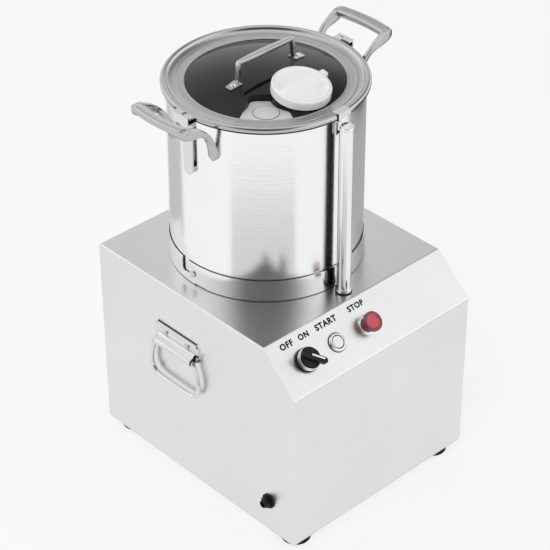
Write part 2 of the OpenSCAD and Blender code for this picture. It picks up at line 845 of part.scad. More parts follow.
// Lid catches: strap foot, shelf, back wall and a hook over half the width
catch_half = 15;
strap_half = 9.5;
strap_drop = 96;
catch_in = pot_r + 3.4;
catch_out = lid_out + 11.5;
catch_t = 2.4;
lug_r = catch_out - catch_t - 0.8;
lug_z = rim_z + 1.6;
lug_h = 2.4;
shelf_z = rim_z - 8;
hook_z = lug_z + lug_h + 0.5;

module lid_catch() {
    difference() {
        union() {
            intersection() {
                ring(catch_in + catch_t, catch_in, strap_drop, rim_z - strap_drop);
                rotate([90, 0, 90]) linear_extrude(2 * pot_r) {
                    translate([0, rim_z - strap_drop + strap_half]) circle(strap_half);
                    translate([-strap_half, rim_z - strap_drop + strap_half])
                        square([2 * strap_half, strap_drop - strap_half - 7]);
                }
            }
            for (z = [rim_z - strap_drop + 4, shelf_z - 12]) translate([pot_r - 1, -6, z])
                cube([catch_in - pot_r + 2, 12, 8]);
            translate([catch_in - 0.4, -catch_half, shelf_z])
                cube([catch_out - catch_in + 0.4, 2 * catch_half, catch_t]);
            translate([catch_out - catch_t, -catch_half, shelf_z])
                cube([catch_t, 2 * catch_half, hook_z + catch_t - shelf_z]);
            translate([lid_out + 1.5, -catch_half, hook_z])
                cube([catch_out - lid_out - 1.5, catch_half - 0.8, catch_t]);
        }
        translate([0, 0, rim_z - 120]) cylinder(r = pot_r, h = 140);
    }
}

module lid_catches() {
    color("silver") on_pot() for (a = [0, 180]) rotate([0, 0, a]) lid_catch();
}

// Cutter
hub_in = tube_r + 3;
hub_r = hub_in + 5;
hub_z = floor_z + 7;
knife_ring = hub_r + 5;
lower_z = hub_z + 3;

module cutter_hub() {
    color("silver") on_pot() difference() {
        union() {
            translate([0, 0, hub_z]) cylinder(r = hub_r, h = hub_top - hub_z - 4);
            translate([0, 0, hub_z]) cylinder(r = knife_ring, h = 3);
            translate([0, 0, hub_top - 4]) cylinder(r1 = hub_r, r2 = hub_r - 6, h = 4);
        }
        translate([0, 0, hub_z - 1]) cylinder(r = hub_in, h = floor_z + tube_h + 3 - hub_z);
        translate([0, 0, hub_z]) cylinder(r = shaft_r, h = 200);
    }
}

// One S-shaped knife: two swept arms on a ring, each the difference of two arcs
module knife_outline() {
    difference() {
        union() {
            circle(knife_ring);
            for (a = [0, 180]) rotate([0, 0, a]) difference() {
                intersection() {
                    translate([knife_r / 2, -knife_r / 2 + 30]) circle(knife_r / 2);
                    circle(knife_r);
                }
                translate([knife_r * 0.46, -knife_r * 0.62]) circle(knife_r * 0.5);
                translate([-knife_r, -knife_r]) square([knife_r + 8, 3 * knife_r]);
            }
        }
        circle(hub_r);
    }
}

module lower_knife() {
    color("lightgray") on_pot() translate([0, 0, lower_z]) linear_extrude(knife_t) knife_outline();
}

module upper_knife() {
    color("lightgray") on_pot() translate([0, 0, lower_z + knife_step]) rotate([0, 0, 90])
        linear_extrude(knife_t) knife_outline();
}

module knife_clamp() {
    color("gray") on_pot() {
        ring(knife_ring, hub_r, knife_step - knife_t, lower_z + knife_t);
        ring(knife_ring, hub_r, 10, lower_z + knife_step + knife_t);
    }
}

module hub_nut() {
    color([0.1, 0.1, 0.1]) on_pot() difference() {
        translate([0, 0, hub_top]) rotate_extrude() polygon(rounded([[0, 0], [23, 0], [23, 12],
            [17, 20], [0, 20]], [0, 1.5, 3, 3, 0]));
        translate([0, 0, hub_top - 1]) cylinder(r = shaft_r, h = shaft_top - hub_top + 1);
        for (i = [0 : 5]) rotate([0, 0, i * 60]) translate([27.5, 0, hub_top - 1]) cylinder(r = 7, h = 30);
    }
}

// Lid
gasket_r = bead_r - lid_t - air - 0.05;
crown_az = 126;
lip_z = rim_z - 2.5;

module lid_gasket() {
    color([0.05, 0.05, 0.05]) on_pot() rotate_extrude() intersection() {
        translate([bead_c, bead_z]) circle(gasket_r);
        translate([bead_c - 10, rim_z + air]) square([20, 20]);
    }
}

// Spun ring: flat seat for the window, rising wall, rolled bead and outer lip, with two welded lugs
module lid_ring() {
    c = [bead_c, bead_z];
    t = lid_t;
    top = c + bead_r * [cos(crown_az), sin(crown_az)];
    under = c + (bead_r - t) * [cos(crown_az), sin(crown_az)];
    color("silver") on_pot() {
        rotate_extrude() polygon([
            each [[window_r, flat_z - t], [window_r, flat_z]],
            each corner_arc([window_r, flat_z], [flat_r, flat_z], top, 5),
            each arc(c, bead_r, crown_az, 0, 9),
            each [[lid_out, lip_z], [lid_out - t, lip_z]],
            each arc(c, bead_r - t, 0, crown_az, 9),
            each corner_arc(under, [flat_r + 0.3 * t, flat_z - t], [window_r, flat_z - t], 5)]);
        for (a = [0, 180]) rotate([0, 0, a]) lid_lug();
    }
}

// Outline of the port plate, grown by g: rounded inner end, flared where it meets the ring
module port_outline(g) {
    inner_u = 64;
    outer_u = window_r - 0.4;
    difference() {
        polygon(rounded([[inner_u - g, -24 - g], [inner_u + 15, -25 - g], [inner_u + 31, -33 - g],
            [outer_u + 4, -39 - g], [outer_u + 4, 39 + g], [inner_u + 31, 33 + g],
            [inner_u + 15, 25 + g], [inner_u - g, 24 + g]], [10, 12, 12, 0, 0, 12, 12, 10]));
        rotate([0, 0, -port_az]) translate([0, -feed_off]) circle(neck_flange_r + 1.2 - g);
    }
}

// Places children on the dome surface, z along its normal
module on_dome(r, az) {
    rotate([0, 0, az]) translate([0, 0, dome_c]) rotate([0, asin(r / dome_r), 0])
        translate([0, 0, dome_r]) rotate([0, 0, -90]) children();
}

// Smoked window: dome with a flange below the ring, the feed neck and a pocket for the port plate
module lid_window() {
    pocket_wall = 2.6;
    color([0.1, 0.1, 0.12, 0.8]) on_pot() difference() {
        union() {
            intersection() {
                difference() {
                    translate([0, 0, dome_c]) sphere(r = dome_r);
                    translate([0, 0, dome_c]) sphere(r = dome_r - window_t);
                }
                translate([0, 0, flat_z - lid_t - 1]) cylinder(r = window_r - 0.2, h = 60);
            }
            ring(window_r + 8, window_r - 14, window_t, flat_z - lid_t - window_t);
            on_dome(feed_off, -90) {
                translate([0, 0, -neck_low]) cylinder(r = feed_r + 4, h = neck_low + 1);
                translate([0, 0, 0.1]) cylinder(r = neck_flange_r, h = 2.4);
            }
            intersection() {
                translate([0, 0, dome_c]) sphere(r = dome_r);
                translate([0, 0, port_z - pocket_wall]) linear_extrude(40) rotate([0, 0, port_az])
                    intersection() {
                        port_outline(pocket_wall + slack);
                        circle(window_r - 0.2);
                    }
            }
        }
        translate([0, 0, port_z]) linear_extrude(40) rotate([0, 0, port_az]) port_outline(slack);
        on_dome(feed_off, -90) translate([0, 0, -30]) cylinder(r = feed_r, h = 60);
        for (a = [0, 180]) on_dome(foot_screw_off, a) translate([0, 0, -10]) cylinder(r = 2.7, h = 20);
    }
}

foot_screw_off = 62;
neck_flange_r = cap_r - 2.2;
neck_low = window_t + 2.6;

module lid_lug() {
    rotate([0, 0, 3.3]) difference() {
        translate([lid_out - lid_t / 2, -7, lug_z]) cube([lug_r - lid_out + lid_t / 2, 14, lug_h]);
        translate([0, 0, lug_z - 1]) ring(lug_r + 9, lug_r, 5);
    }
}

// Folded cover over the bead with a finger that carries the magnet between pot and post
lug_t = 1.4;
lug_half = 12;
lug_gap = 1;
finger_w = 5;
finger_low = 28;

module on_lug() {
    on_pot() rotate([0, 0, -87.3]) children();
}

module interlock_lug() {
    crown = bead_z + bead_r;
    skirt = lid_out + lug_gap;
    color("silver") on_lug() {
        translate([lid_out - 11, -lug_half, crown]) cube([11 + lug_gap + lug_t, 2 * lug_half, lug_t]);
        translate([skirt, -lug_half, rim_z - 1]) cube([lug_t, 2 * lug_half, crown - rim_z + 1 + lug_t / 2]);
        translate([skirt, -lug_half, rim_z - 5.6]) cube([lug_t, finger_w, 6]);
        translate([pot_r + 2.2, -lug_half, rim_z - 5.6]) cube([skirt + lug_t - pot_r - 2.2, finger_w, lug_t]);
        translate([pot_r + 2.2, -lug_half, rim_z - finger_low])
            cube([lug_t, finger_w, finger_low - 5]);
    }
}

module interlock_magnet() {
    color("dimgray") on_lug() translate([pot_r + 2.2 + lug_t, -lug_half + finger_w / 2, rim_z - 23])
        rotate([0, 90, 0]) cylinder(r = 2.4, h = 1.5);
}

module port_plate() {
    color("whitesmoke") on_pot() rotate([0, 0, port_az]) translate([0, 0, port_z])
        linear_extrude(3) difference() {
            intersection() {
                port_outline(0);
                circle(window_r - 0.4);
            }
            translate([port_off, 0]) circle(port_r + 0.4);
        }
}

module port_disc() {
    color("white") on_pot() rotate([0, 0, port_az]) translate([port_off, 0, port_z])
        cylinder(r = port_r, h = 3.6);
}

// Clamp ring under the window flange
module window_ring() {
    color("silver") on_pot() {
        ring(window_r + 12, window_r - 10, 1.5, flat_z - lid_t - window_t - 1.5);
        ring(window_r + 12, window_r + 8.1, window_t + 0.1, flat_z - lid_t - window_t - 0.1);
    }
}

module handle_screws() {
    color("silver") on_pot() for (a = [0, 180]) on_dome(foot_screw_off, a) {
        translate([0, 0, -window_t - 5]) cylinder(r = 2.5, h = window_t + 6 + foot_plate_t);
        translate([0, 0, -window_t - 4.3]) cylinder(r = 5.5, h = 4, $fn = 6);
        translate([0, 0, foot_plate_t + 0.12]) cylinder(r1 = 4.2, r2 = 3, h = 2);
    }
}

// Lid handle: bent bar with outturned feet
bar_w = 9;
bar_t = 8;
foot_plate_t = 2.4;

module lid_handle() {
    crown = flat_z + grip_rise;
    seat = dome_z(grip_half) + 0.6;
    color("silver") on_pot() {
        rotate([90, 0, 0]) linear_extrude(bar_w, center = true) difference() {
            polygon(rounded([[-grip_half - 5, seat], [-grip_half - 1, crown], [grip_half + 1, crown],
                [grip_half + 5, seat]], [0, 7, 7, 0]));
            polygon(rounded([[-grip_half + 1, seat - 1], [-grip_half + 7, crown - bar_t],
                [grip_half - 7, crown - bar_t], [grip_half - 1, seat - 1]], [0, 4, 4, 0]));
        }
        for (a = [0, 180]) on_dome(foot_screw_off, a) difference() {
            translate([0, -3, 0.1]) slab(14, 22, foot_plate_t, 2, 0);
            translate([0, 0, -1]) cylinder(r = 2.5, h = 6);
        }
    }
}

// Feed cap: skirted disc with a thumb rib and a tab, lying on the neck
module feed_cap() {
    skirt = 8;
    color("white") on_pot() on_dome(feed_off, -90) difference() {
        union() {
            rotate_extrude() polygon(rounded([[0, -1], [cap_r, -1],
                [cap_r, skirt], [cap_r - 4, cap_h - 4], [0, cap_h - 4]], [0, 1, 3, 3, 0]));
            translate([-cap_r + 8, -5, cap_h - 4]) cube([2 * cap_r - 14, 10, 4.9]);
            translate([cap_r - 14, -6, skirt]) cube([15, 12, cap_h - skirt + 2]);
        }
        translate([0, 0, -2]) cylinder(r = neck_flange_r + slack, h = 4.5 + air);
        for (m = [0, 1]) mirror([0, m, 0]) intersection() {
            translate([0, 0, cap_h - 6.6]) cylinder(r = cap_r - 9, h = 10);
            translate([-cap_r, 7, cap_h - 6.6]) cube([2 * cap_r, cap_r, 10]);
        }
    }
}

base_housing();
bottom_plate();
rubber_feet();
foot_screws();
seat_ring();
hinge_plate_left();
hinge_plate_right();
hinge_plate_screws();
side_bail_left();
side_bail_right();
gland_body();
gland_nut();
selector_bezel();
selector_knob();
start_bezel();
start_button();
stop_bezel();
stop_button();
contact_blocks();
lock_nuts();
mount_plate();
motor_top_shield();
motor_frame();
stator();
motor_bottom_shield();
flange_bolts();
bearings();
shaft_seal();
fan_cover();
rotor_core();
motor_shaft();
fan();
capacitor();
contactor();
post_tube();
post_cap();
post_gasket();
interlock_sensor();
pot_shell();
centre_tube();
bayonet_pins();
pot_handle_left();
pot_handle_right();
lid_catches();
cutter_hub();
lower_knife();
upper_knife();
knife_clamp();
hub_nut();
lid_gasket();
lid_ring();
lid_window();
window_ring();
interlock_lug();
interlock_magnet();
port_plate();
port_disc();
lid_handle();
handle_screws();
feed_cap();
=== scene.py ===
"""Looks of the electric food chopper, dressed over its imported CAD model."""
import math

import bmesh
import bpy
import numpy as np
from mathutils import Euler, Matrix, Vector


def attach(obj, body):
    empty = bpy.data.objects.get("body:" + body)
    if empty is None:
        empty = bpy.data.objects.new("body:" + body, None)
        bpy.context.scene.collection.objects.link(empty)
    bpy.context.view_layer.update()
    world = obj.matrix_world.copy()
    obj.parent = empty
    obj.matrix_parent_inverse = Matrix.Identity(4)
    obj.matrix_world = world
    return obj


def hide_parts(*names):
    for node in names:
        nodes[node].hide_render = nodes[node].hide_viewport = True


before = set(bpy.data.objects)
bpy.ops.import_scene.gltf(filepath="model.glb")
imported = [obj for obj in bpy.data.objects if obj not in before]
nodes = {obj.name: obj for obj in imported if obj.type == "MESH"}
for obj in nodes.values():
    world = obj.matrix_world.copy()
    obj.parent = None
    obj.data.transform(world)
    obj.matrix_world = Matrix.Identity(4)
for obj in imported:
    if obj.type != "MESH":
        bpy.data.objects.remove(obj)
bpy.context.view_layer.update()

# Studio: a white floor that reaches past the picture, a pale sky with brighter and darker parts, one soft lamp, and
# grey cards on the floor that only show in reflections. The camera stands where the photographer stood, 3 m off,
# looking down on the near left corner.
CAMERA_AT = (-1.7278, -1.8220, 2.0802)
CAMERA_TILT, CAMERA_HEADING, CAMERA_ROLL = 54.81, -43.20, -0.19
WHITE = 0.96
SKY_FALL = ((0.0, 0.98), (0.30, 0.92), (0.52, 0.74), (0.70, 0.60), (1.0, 1.0))  # height and brightness
# Each part of the sky: its direction, the cosines at which it starts and is full, and how much brighter it is there.
SKY_PARTS = (((0.69, -0.72, 0.0), 0.25, 0.80, 1.58), ((-0.559, -0.599, 0.574), 0.74, 0.93, 0.17),
             ((-0.41, 0.71, 0.57), 0.66, 0.96, 1.45), ((0.80, 0.10, 0.59), 0.86, 0.97, 0.45))

camera = bpy.data.objects.new("camera", bpy.data.cameras.new("camera"))
camera.location = CAMERA_AT
tilted = Euler((math.radians(CAMERA_TILT), 0, math.radians(CAMERA_HEADING))).to_matrix()
camera.rotation_euler = (tilted @ Matrix.Rotation(math.radians(CAMERA_ROLL), 3, "Z")).to_euler()
camera.data.lens = 134.1
camera.data.sensor_width = 36
camera.data.clip_end = 60
bpy.context.collection.objects.link(camera)
bpy.context.scene.camera = camera
bpy.context.scene.view_settings.view_transform = "Standard"


def joined(tree, kind, inputs=(), **settings):
    """A new shader node of a kind; each input is (socket, value or the socket that feeds it)."""
    made = tree.nodes.new("ShaderNode" + kind)
    for key, value in settings.items():
        setattr(made, key, value)
    for socket, value in dict(inputs).items():
        if isinstance(value, bpy.types.NodeSocket):
            tree.links.new(value, made.inputs[socket])
        else:
            made.inputs[socket].default_value = value
    return made


def shown_directly(tree):
    """1 for rays from the camera, off metal or through glass, and 0 for light on matt surfaces."""
    path = joined(tree, "LightPath").outputs
    either = joined(tree, "Math", {0: path["Is Camera Ray"], 1: path["Is Glossy Ray"]}, operation="MAXIMUM")
    return joined(tree, "Math", {0: either.outputs[0], 1: path["Is Transmission Ray"]}, operation="MAXIMUM").outputs[0]


world = bpy.data.worlds.new("studio")
world.use_nodes = True
bpy.context.scene.world = world
sky = world.node_tree
ray = joined(sky, "TexCoord").outputs["Generated"]
up = joined(sky, "SeparateXYZ", {0: ray})
fall = joined(sky, "ValToRGB", {0: up.outputs[2]})
ramp = fall.color_ramp.elements
for place, grey in SKY_FALL:
    stop = {0.0: ramp[0], 1.0: ramp[-1]}.get(place) or ramp.new(place)
    stop.color = (grey, grey, grey, 1)
level = 1.0
for lobe, low_dot, high_dot, gain in SKY_PARTS:
    toward = joined(sky, "VectorMath", {0: ray, 1: lobe}, operation="DOT_PRODUCT").outputs["Value"]
    change = joined(sky, "MapRange", {0: toward, 1: low_dot, 2: high_dot, 3: 1.0, 4: gain}).outputs[0]
    level = joined(sky, "Math", {0: change, 1: level}, operation="MULTIPLY").outputs[0]
lobed = joined(sky, "VectorMath", {0: fall.outputs[0], 3: level}, operation="SCALE").outputs[0]
plain = joined(sky, "MixRGB", {0: joined(sky, "LightPath").outputs["Is Camera Ray"], 1: lobed,
                               2: (WHITE, WHITE, WHITE, 1)})
sky.links.new(plain.outputs[0], sky.nodes["Background"].inputs[0])
sky.nodes["Background"].inputs[1].default_value = 1.0

floor_mesh = bpy.data.meshes.new("floor")
floor_mesh.from_pydata([(-20, -20, 0), (20, -20, 0), (20, 20, 0), (-20, 20, 0)], [], [(0, 1, 2, 3)])
floor = bpy.data.objects.new("floor", floor_mesh)
bpy.context.collection.objects.link(floor)
floor_paint = bpy.data.materials.new("floor_paint")
floor_paint.use_nodes = True
tree = floor_paint.node_tree
shaded = tree.nodes["Principled BSDF"]
shaded.inputs["Base Color"].default_value = (0.9, 0.9, 0.9, 1)
shaded.inputs["Roughness"].default_value = 0.7
lit = joined(tree, "Emission", {"Color": (WHITE, WHITE, WHITE, 1)})
share = joined(tree, "Math", {0: shown_directly(tree), 1: 0.82}, operation="MULTIPLY")
both = joined(tree, "MixShader", {0: share.outputs[0], 1: shaded.outputs[0], 2: lit.outputs[0]})
tree.links.new(both.outputs[0], tree.nodes["Material Output"].inputs[0])
floor_mesh.materials.append(floor_paint)

lamp = bpy.data.objects.new("lamp", bpy.data.lights.new("lamp", "AREA"))
lamp.data.size, lamp.data.energy = 1.6, 40
lamp.location = (-1.9, -1.0, 3.0)
lamp.rotation_euler = (Vector((0, 0, 0.4)) - lamp.location).to_track_quat("-Z", "Y").to_euler()
lamp.visible_glossy = False
bpy.context.collection.objects.link(lamp)


def stage_card(name, corners, grey):
    """A plain studio card that only shows in reflections: corners in metres, grey as its brightness."""
    mesh = bpy.data.meshes.new(name)
    mesh.from_pydata(corners, [], [tuple(range(len(corners)))])
    card = bpy.data.objects.new(name, mesh)
    bpy.context.collection.objects.link(card)
    card.visible_camera = card.visible_diffuse = card.visible_shadow = card.visible_transmission = False
    paint = bpy.data.materials.new(name)
    paint.use_nodes = True
    t = paint.node_tree
    t.nodes.remove(t.nodes["Principled BSDF"])
    t.links.new(joined(t, "Emission", {"Color": (grey, grey, grey, 1)}).outputs[0],
                t.nodes["Material Output"].inputs[0])
    mesh.materials.append(paint)


CARD_HEIGHT = 0.001
for name, grey, corners in (
        ("shade_far", 0.05, [(1.1, -0.60), (1.8, -0.9), (1.8, 1.3), (1.1, 0.90)]),
        ("shade_right", 0.42, [(0.42, -0.30), (1.1, -0.60), (1.1, 0.90), (0.42, 0.45)]),
        ("shade_back", 0.55, [(0.15, 0.45), (0.22, 1.22), (-0.56, 1.10), (-0.30, 0.45)]),
        ("shade_front", 0.66, [(-0.57, -0.06), (-0.94, -0.11), (-0.83, -0.46), (-0.67, -0.66), (-0.48, -0.80),
                               (-0.21, -0.92), (-0.13, -0.53), (-0.30, -0.46), (-0.45, -0.31)])):
    stage_card(name, [(x, y, CARD_HEIGHT) for x, y in corners], grey)

# Base housing: 1.5 mm stainless sheet folded round the motor, its front bent back into the control panel and its
# lower edge rolled in. The sheet keeps its mill brushing, which runs level round every face.
POT_Y = 0.036  # the pot's axis stands this far behind the middle of the base
ROOF = 0.347  # top face of the housing
FOLD_SHADE_Z = 0.0158  # height of the fold over the rolled edge, where a thin dark line is painted: painted shade for the floor's shadow that the bend mirrors


def grain_group():
    """Brushed metal as streaks: noise stretched by the Stretch input gives height, roughness and tone."""
    g = bpy.data.node_groups.new("grain", "ShaderNodeTree")
    for label, kind, value in (("Vector", "Vector", None), ("Stretch", "Vector", (8, 900, 900)),
                               ("Depth", "Float", 0.15), ("Rough", "Float", 0.25), ("Spread", "Float", 0.08),
                               ("Cloud", "Float", 0.05)):
        socket = g.interface.new_socket(label, in_out="INPUT", socket_type="NodeSocket" + kind)
        if value is not None:
            socket.default_value = value
    for label, kind in (("Roughness", "Float"), ("Tone", "Float"), ("Normal", "Vector")):
        g.interface.new_socket(label, in_out="OUTPUT", socket_type="NodeSocket" + kind)
    given = g.nodes.new("NodeGroupInput").outputs
    place = joined(g, "VectorMath", {0: given["Vector"], 1: given["Stretch"]}, operation="MULTIPLY").outputs[0]
    streak = joined(g, "TexNoise", {"Vector": place, "Scale": 1.0, "Detail": 3.0, "Roughness": 0.6}).outputs[0]
    cloud = joined(g, "TexNoise", {"Vector": given["Vector"], "Scale": 7.0, "Detail": 2.0}).outputs[0]
    mid_s = joined(g, "Math", {0: streak, 1: 0.5}, operation="SUBTRACT").outputs[0]
    mid_c = joined(g, "Math", {0: cloud, 1: 0.5}, operation="SUBTRACT").outputs[0]
    vary = joined(g, "Math", {0: mid_s, 1: given["Spread"], 2: given["Rough"]}, operation="MULTIPLY_ADD").outputs[0]
    rough = joined(g, "Math", {0: mid_c, 1: given["Cloud"], 2: vary}, operation="MULTIPLY_ADD").outputs[0]
    dull = joined(g, "Math", {0: mid_c, 1: given["Cloud"]}, operation="MULTIPLY").outputs[0]
    fine = joined(g, "Math", {0: mid_s, 1: given["Spread"], 2: dull}, operation="MULTIPLY_ADD").outputs[0]
    tone = joined(g, "Math", {0: fine, 1: 1.0}, operation="ADD").outputs[0]
    bump = joined(g, "Bump", {"Strength": given["Depth"], "Distance": 0.0002, "Height": streak}).outputs[0]
    out = g.nodes.new("NodeGroupOutput").inputs
    for label, value in (("Roughness", rough), ("Tone", tone), ("Normal", bump)):
        g.links.new(value, out[label])
    return g


GRAIN = grain_group()


def metal(name, colour, rough, stretch, depth=0.12, spread=0.08, cloud=0.06, sides=None, turned=False, dark=None):
    """Bare metal with streaks along the axis whose stretch is small; sides is the stretch on faces that look left or
    right, where the level direction is the other one. Turned metal has its streaks in rings round the pot's axis: x is
    the distance from it there. Dark is (axis, middle, half, fade, tone): painted shade, a band across that axis that
    has the given tone to half its width, and fades out past that."""
    m = bpy.data.materials.new(name)
    m.use_nodes = True
    t = m.node_tree
    where = joined(t, "TexCoord").outputs
    brush = t.nodes.new("ShaderNodeGroup")
    brush.node_tree = GRAIN
    for key, value in (("Depth", depth), ("Rough", rough), ("Spread", spread), ("Cloud", cloud), ("Stretch", stretch)):
        brush.inputs[key].default_value = value
    spot = where["Object"]
    if turned:
        off = joined(t, "VectorMath", {0: spot, 1: (0, POT_Y, 0)}, operation="SUBTRACT").outputs[0]
        flat = joined(t, "VectorMath", {0: off, 1: (1, 1, 0)}, operation="MULTIPLY").outputs[0]
        far = joined(t, "VectorMath", {0: flat}, operation="LENGTH").outputs["Value"]
        high = joined(t, "SeparateXYZ", {0: spot}).outputs[2]
        spot = joined(t, "CombineXYZ", {0: far, 2: high}).outputs[0]
    t.links.new(spot, brush.inputs["Vector"])
    if sides:
        face = joined(t, "SeparateXYZ", {0: where["Normal"]}).outputs[0]
        sideways = joined(t, "Math", {0: face}, operation="ABSOLUTE").outputs[0]
        pick = joined(t, "Math", {0: sideways, 1: 0.8}, operation="GREATER_THAN").outputs[0]
        turn = joined(t, "MixRGB", {0: pick, 1: (*stretch, 1), 2: (*sides, 1)}).outputs[0]
        t.links.new(turn, brush.inputs["Stretch"])
    tint = joined(t, "VectorMath", {0: colour, 3: brush.outputs["Tone"]}, operation="SCALE").outputs[0]
    if dark:
        along = joined(t, "SeparateXYZ", {0: where["Object"]}).outputs[dark[0]]
        apart = joined(t, "Math", {0: along, 1: dark[1]}, operation="SUBTRACT").outputs[0]
        apart = joined(t, "Math", {0: apart}, operation="ABSOLUTE").outputs[0]
        fade = joined(t, "MapRange", {0: apart, 1: dark[2], 2: dark[2] + dark[3], 3: dark[4], 4: 1.0}).outputs[0]
        tint = joined(t, "VectorMath", {0: tint, 3: fade}, operation="SCALE").outputs[0]
    shader = t.nodes["Principled BSDF"]
    t.links.new(tint, shader.inputs["Base Color"])
    shader.inputs["Metallic"].default_value = 1
    t.links.new(brush.outputs["Roughness"], shader.inputs["Roughness"])
    t.links.new(brush.outputs["Normal"], shader.inputs["Normal"])
    return m


def finish_piece(name, mesh, body, material, stands_for=()):
    """Puts a mesh on its body with its material, in place of the nodes it stands for."""
    made = bpy.data.objects.new(name, mesh)
    bpy.context.collection.objects.link(made)
    mesh.materials.clear()
    mesh.materials.append(material)
    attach(made, body)
    if stands_for:
        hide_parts(*stands_for)
    return made


def clean_copy(node, flat=0.02):
    """A node's mesh with its loose triangles joined and its flat faces made whole."""
    mesh = nodes[node].data.copy()
    work = bmesh.new()
    work.from_mesh(mesh)
    bmesh.ops.remove_doubles(work, verts=work.verts, dist=2e-6)
    bmesh.ops.dissolve_limit(work, angle_limit=flat, verts=work.verts, edges=work.edges, delimit={"NORMAL"})
    work.to_mesh(mesh)
    work.free()
    mesh.shade_smooth()
    return mesh


def pressed(node, body, material, edge=0.0004, sharp=32, rounds=2):
    """A node with its hard edges broken by a small bevel and its bends shaded round."""
    mesh = clean_copy(node)
    mesh.set_sharp_from_angle(angle=math.radians(sharp))
    made = finish_piece(node + "_skin", mesh, body, material, (node,))
    if edge:
        bevel = made.modifiers.new("broken_edges", "BEVEL")
        bevel.width, bevel.segments = edge, rounds
        bevel.limit_method, bevel.angle_limit = "ANGLE", math.radians(sharp)
        bevel.use_clamp_overlap = True
    even = made.modifiers.new("even_shading", "WEIGHTED_NORMAL")
    even.keep_sharp = True
    return made


# The sheet is painted darker in a thin line along the fold over the rolled edge: painted shade.
sheet_metal = metal("brushed_sheet", (0.79, 0.795, 0.80), 0.30, (6, 700, 700), depth=0.14, spread=0.11,
                    cloud=0.12, sides=(700, 6, 700), dark=(2, FOLD_SHADE_Z, 0.0003, 0.0006, 0.45))
pressed("base_housing", "base", sheet_metal, edge=0)

# Plated steel inside and under the base: the bottom plate, the fan cover and the motor's mount plate are pressed
# from sheet, and screws, nuts and bearings are bought in. They are seen only from underneath, or not at all.
plated = metal("zinc_plate", (0.62, 0.63, 0.64), 0.38, (60, 60, 60), depth=0.05, spread=0.15, cloud=0.2)
for node in ("bottom_plate", "foot_screws", "lock_nuts", "mount_plate", "flange_bolts", "bearings", "fan_cover"):
    pressed(node, "base", plated, edge=0.0003 if node != "bottom_plate" else 0)

# Rubber feet: black moulded cones that flare out to the floor, one at each corner, screwed up through the rolled
# edge of the housing. The outline gives radius and height, from the screw's bore round the sole and up the side.
FOOT_X, FOOT_Y = 0.148, 0.1835
foot_line = [(0.0043, 0.0075), (0.0043, 0.0055), (0.0080, 0.0055), (0.0080, 0.0002), (0.0086, 0), (0.0208, 0),
             (0.0218, 0.0004), (0.0224, 0.0014), (0.0219, 0.0044), (0.0200, 0.0075), (0.0043, 0.0075)]


def moulded(name, colour, rough, speck=0.03, size=900.0, depth=0.08, coat=0.0, shine=0.5):
    """Plastic or rubber: fine noise gives the skin of the mould, and slow noise a little wear."""
    m = bpy.data.materials.new(name)
    m.use_nodes = True
    t = m.node_tree
    where = joined(t, "TexCoord").outputs["Object"]
    skin = joined(t, "TexNoise", {"Vector": where, "Scale": size, "Detail": 2.0}).outputs[0]
    wear = joined(t, "TexNoise", {"Vector": where, "Scale": 18.0, "Detail": 3.0}).outputs[0]
    tone = joined(t, "MapRange", {0: wear, 3: 1 - 2 * speck, 4: 1 + 2 * speck}).outputs[0]
    shader = t.nodes["Principled BSDF"]
    tint = joined(t, "VectorMath", {0: colour, 3: tone}, operation="SCALE").outputs[0]
    t.links.new(tint, shader.inputs["Base Color"])
    t.links.new(joined(t, "MapRange", {0: wear, 3: rough - 0.05, 4: rough + 0.05}).outputs[0],
                shader.inputs["Roughness"])
    t.links.new(joined(t, "Bump", {"Strength": depth, "Distance": 0.0002, "Height": skin}).outputs[0],
                shader.inputs["Normal"])
    shader.inputs["Coat Weight"].default_value = coat
    shader.inputs["Specular IOR Level"].default_value = shine
    return m


rubber = moulded("black_rubber", (0.012, 0.012, 0.013), 0.6, depth=0.2, shine=0.12)


def grid_mesh(name, points, round_u=False, round_v=False, sharp=40):
    """A skin over a grid of points, rows by columns, closed round in either direction if asked."""
    rows, columns = points.shape[:2]
    index = np.arange(rows * columns).reshape(rows, columns)
    if round_u:
        index = np.vstack([index, index[:1]])
    if round_v:
        index = np.hstack([index, index[:, :1]])
    quads = np.stack([index[:-1, :-1], index[1:, :-1], index[1:, 1:], index[:-1, 1:]], -1).reshape(-1, 4)
    mesh = bpy.data.meshes.new(name)
    mesh.from_pydata(points.reshape(-1, 3), [], quads.tolist())
    work = bmesh.new()
    work.from_mesh(mesh)
    bmesh.ops.remove_doubles(work, verts=work.verts, dist=1e-7)
    bmesh.ops.holes_fill(work, edges=[e for e in work.edges if e.is_boundary], sides=0)
    bmesh.ops.recalc_face_normals(work, faces=work.faces)
    work.to_mesh(mesh)
    work.free()
    mesh.shade_smooth()
    mesh.set_sharp_from_angle(angle=math.radians(sharp))
    return mesh


def lathe(name, profile, centre=(0, POT_Y), sides=256, sharp=40):
    """A profile of (radius, height) points carried round the upright axis."""
    profile = np.array(profile, float)
    turn = np.linspace(0, 2 * np.pi, sides, endpoint=False)
    x = centre[0] + profile[None, :, 0] * np.cos(turn)[:, None]
    y = centre[1] + profile[None, :, 0] * np.sin(turn)[:, None]
    z = np.broadcast_to(profile[None, :, 1], x.shape)
    return grid_mesh(name, np.stack([x, y, z], -1), round_u=True, sharp=sharp)


def finished(name, work):
    """The mesh of a bmesh, which is then let go."""
    mesh = bpy.data.meshes.new(name)
    work.to_mesh(mesh)
    work.free()
    return mesh


def merged(name, meshes):
    """Several meshes in one."""
    work = bmesh.new()
    for m in meshes:
        work.from_mesh(m)
    return finished(name, work)


feet = [lathe("foot", foot_line, (x, y), sides=64, sharp=35) for x in (-FOOT_X, FOOT_X) for y in (-FOOT_Y, FOOT_Y)]
finish_piece("feet_rubber", merged("feet_rubber", feet), "base", rubber, ("rubber_feet",))

# Seat ring: polished strip rolled to a ring and welded to the roof, with two J-shaped bayonet slots and a drain
# notch. Its walls are shaded as the true cylinder, so that it mirrors like one.


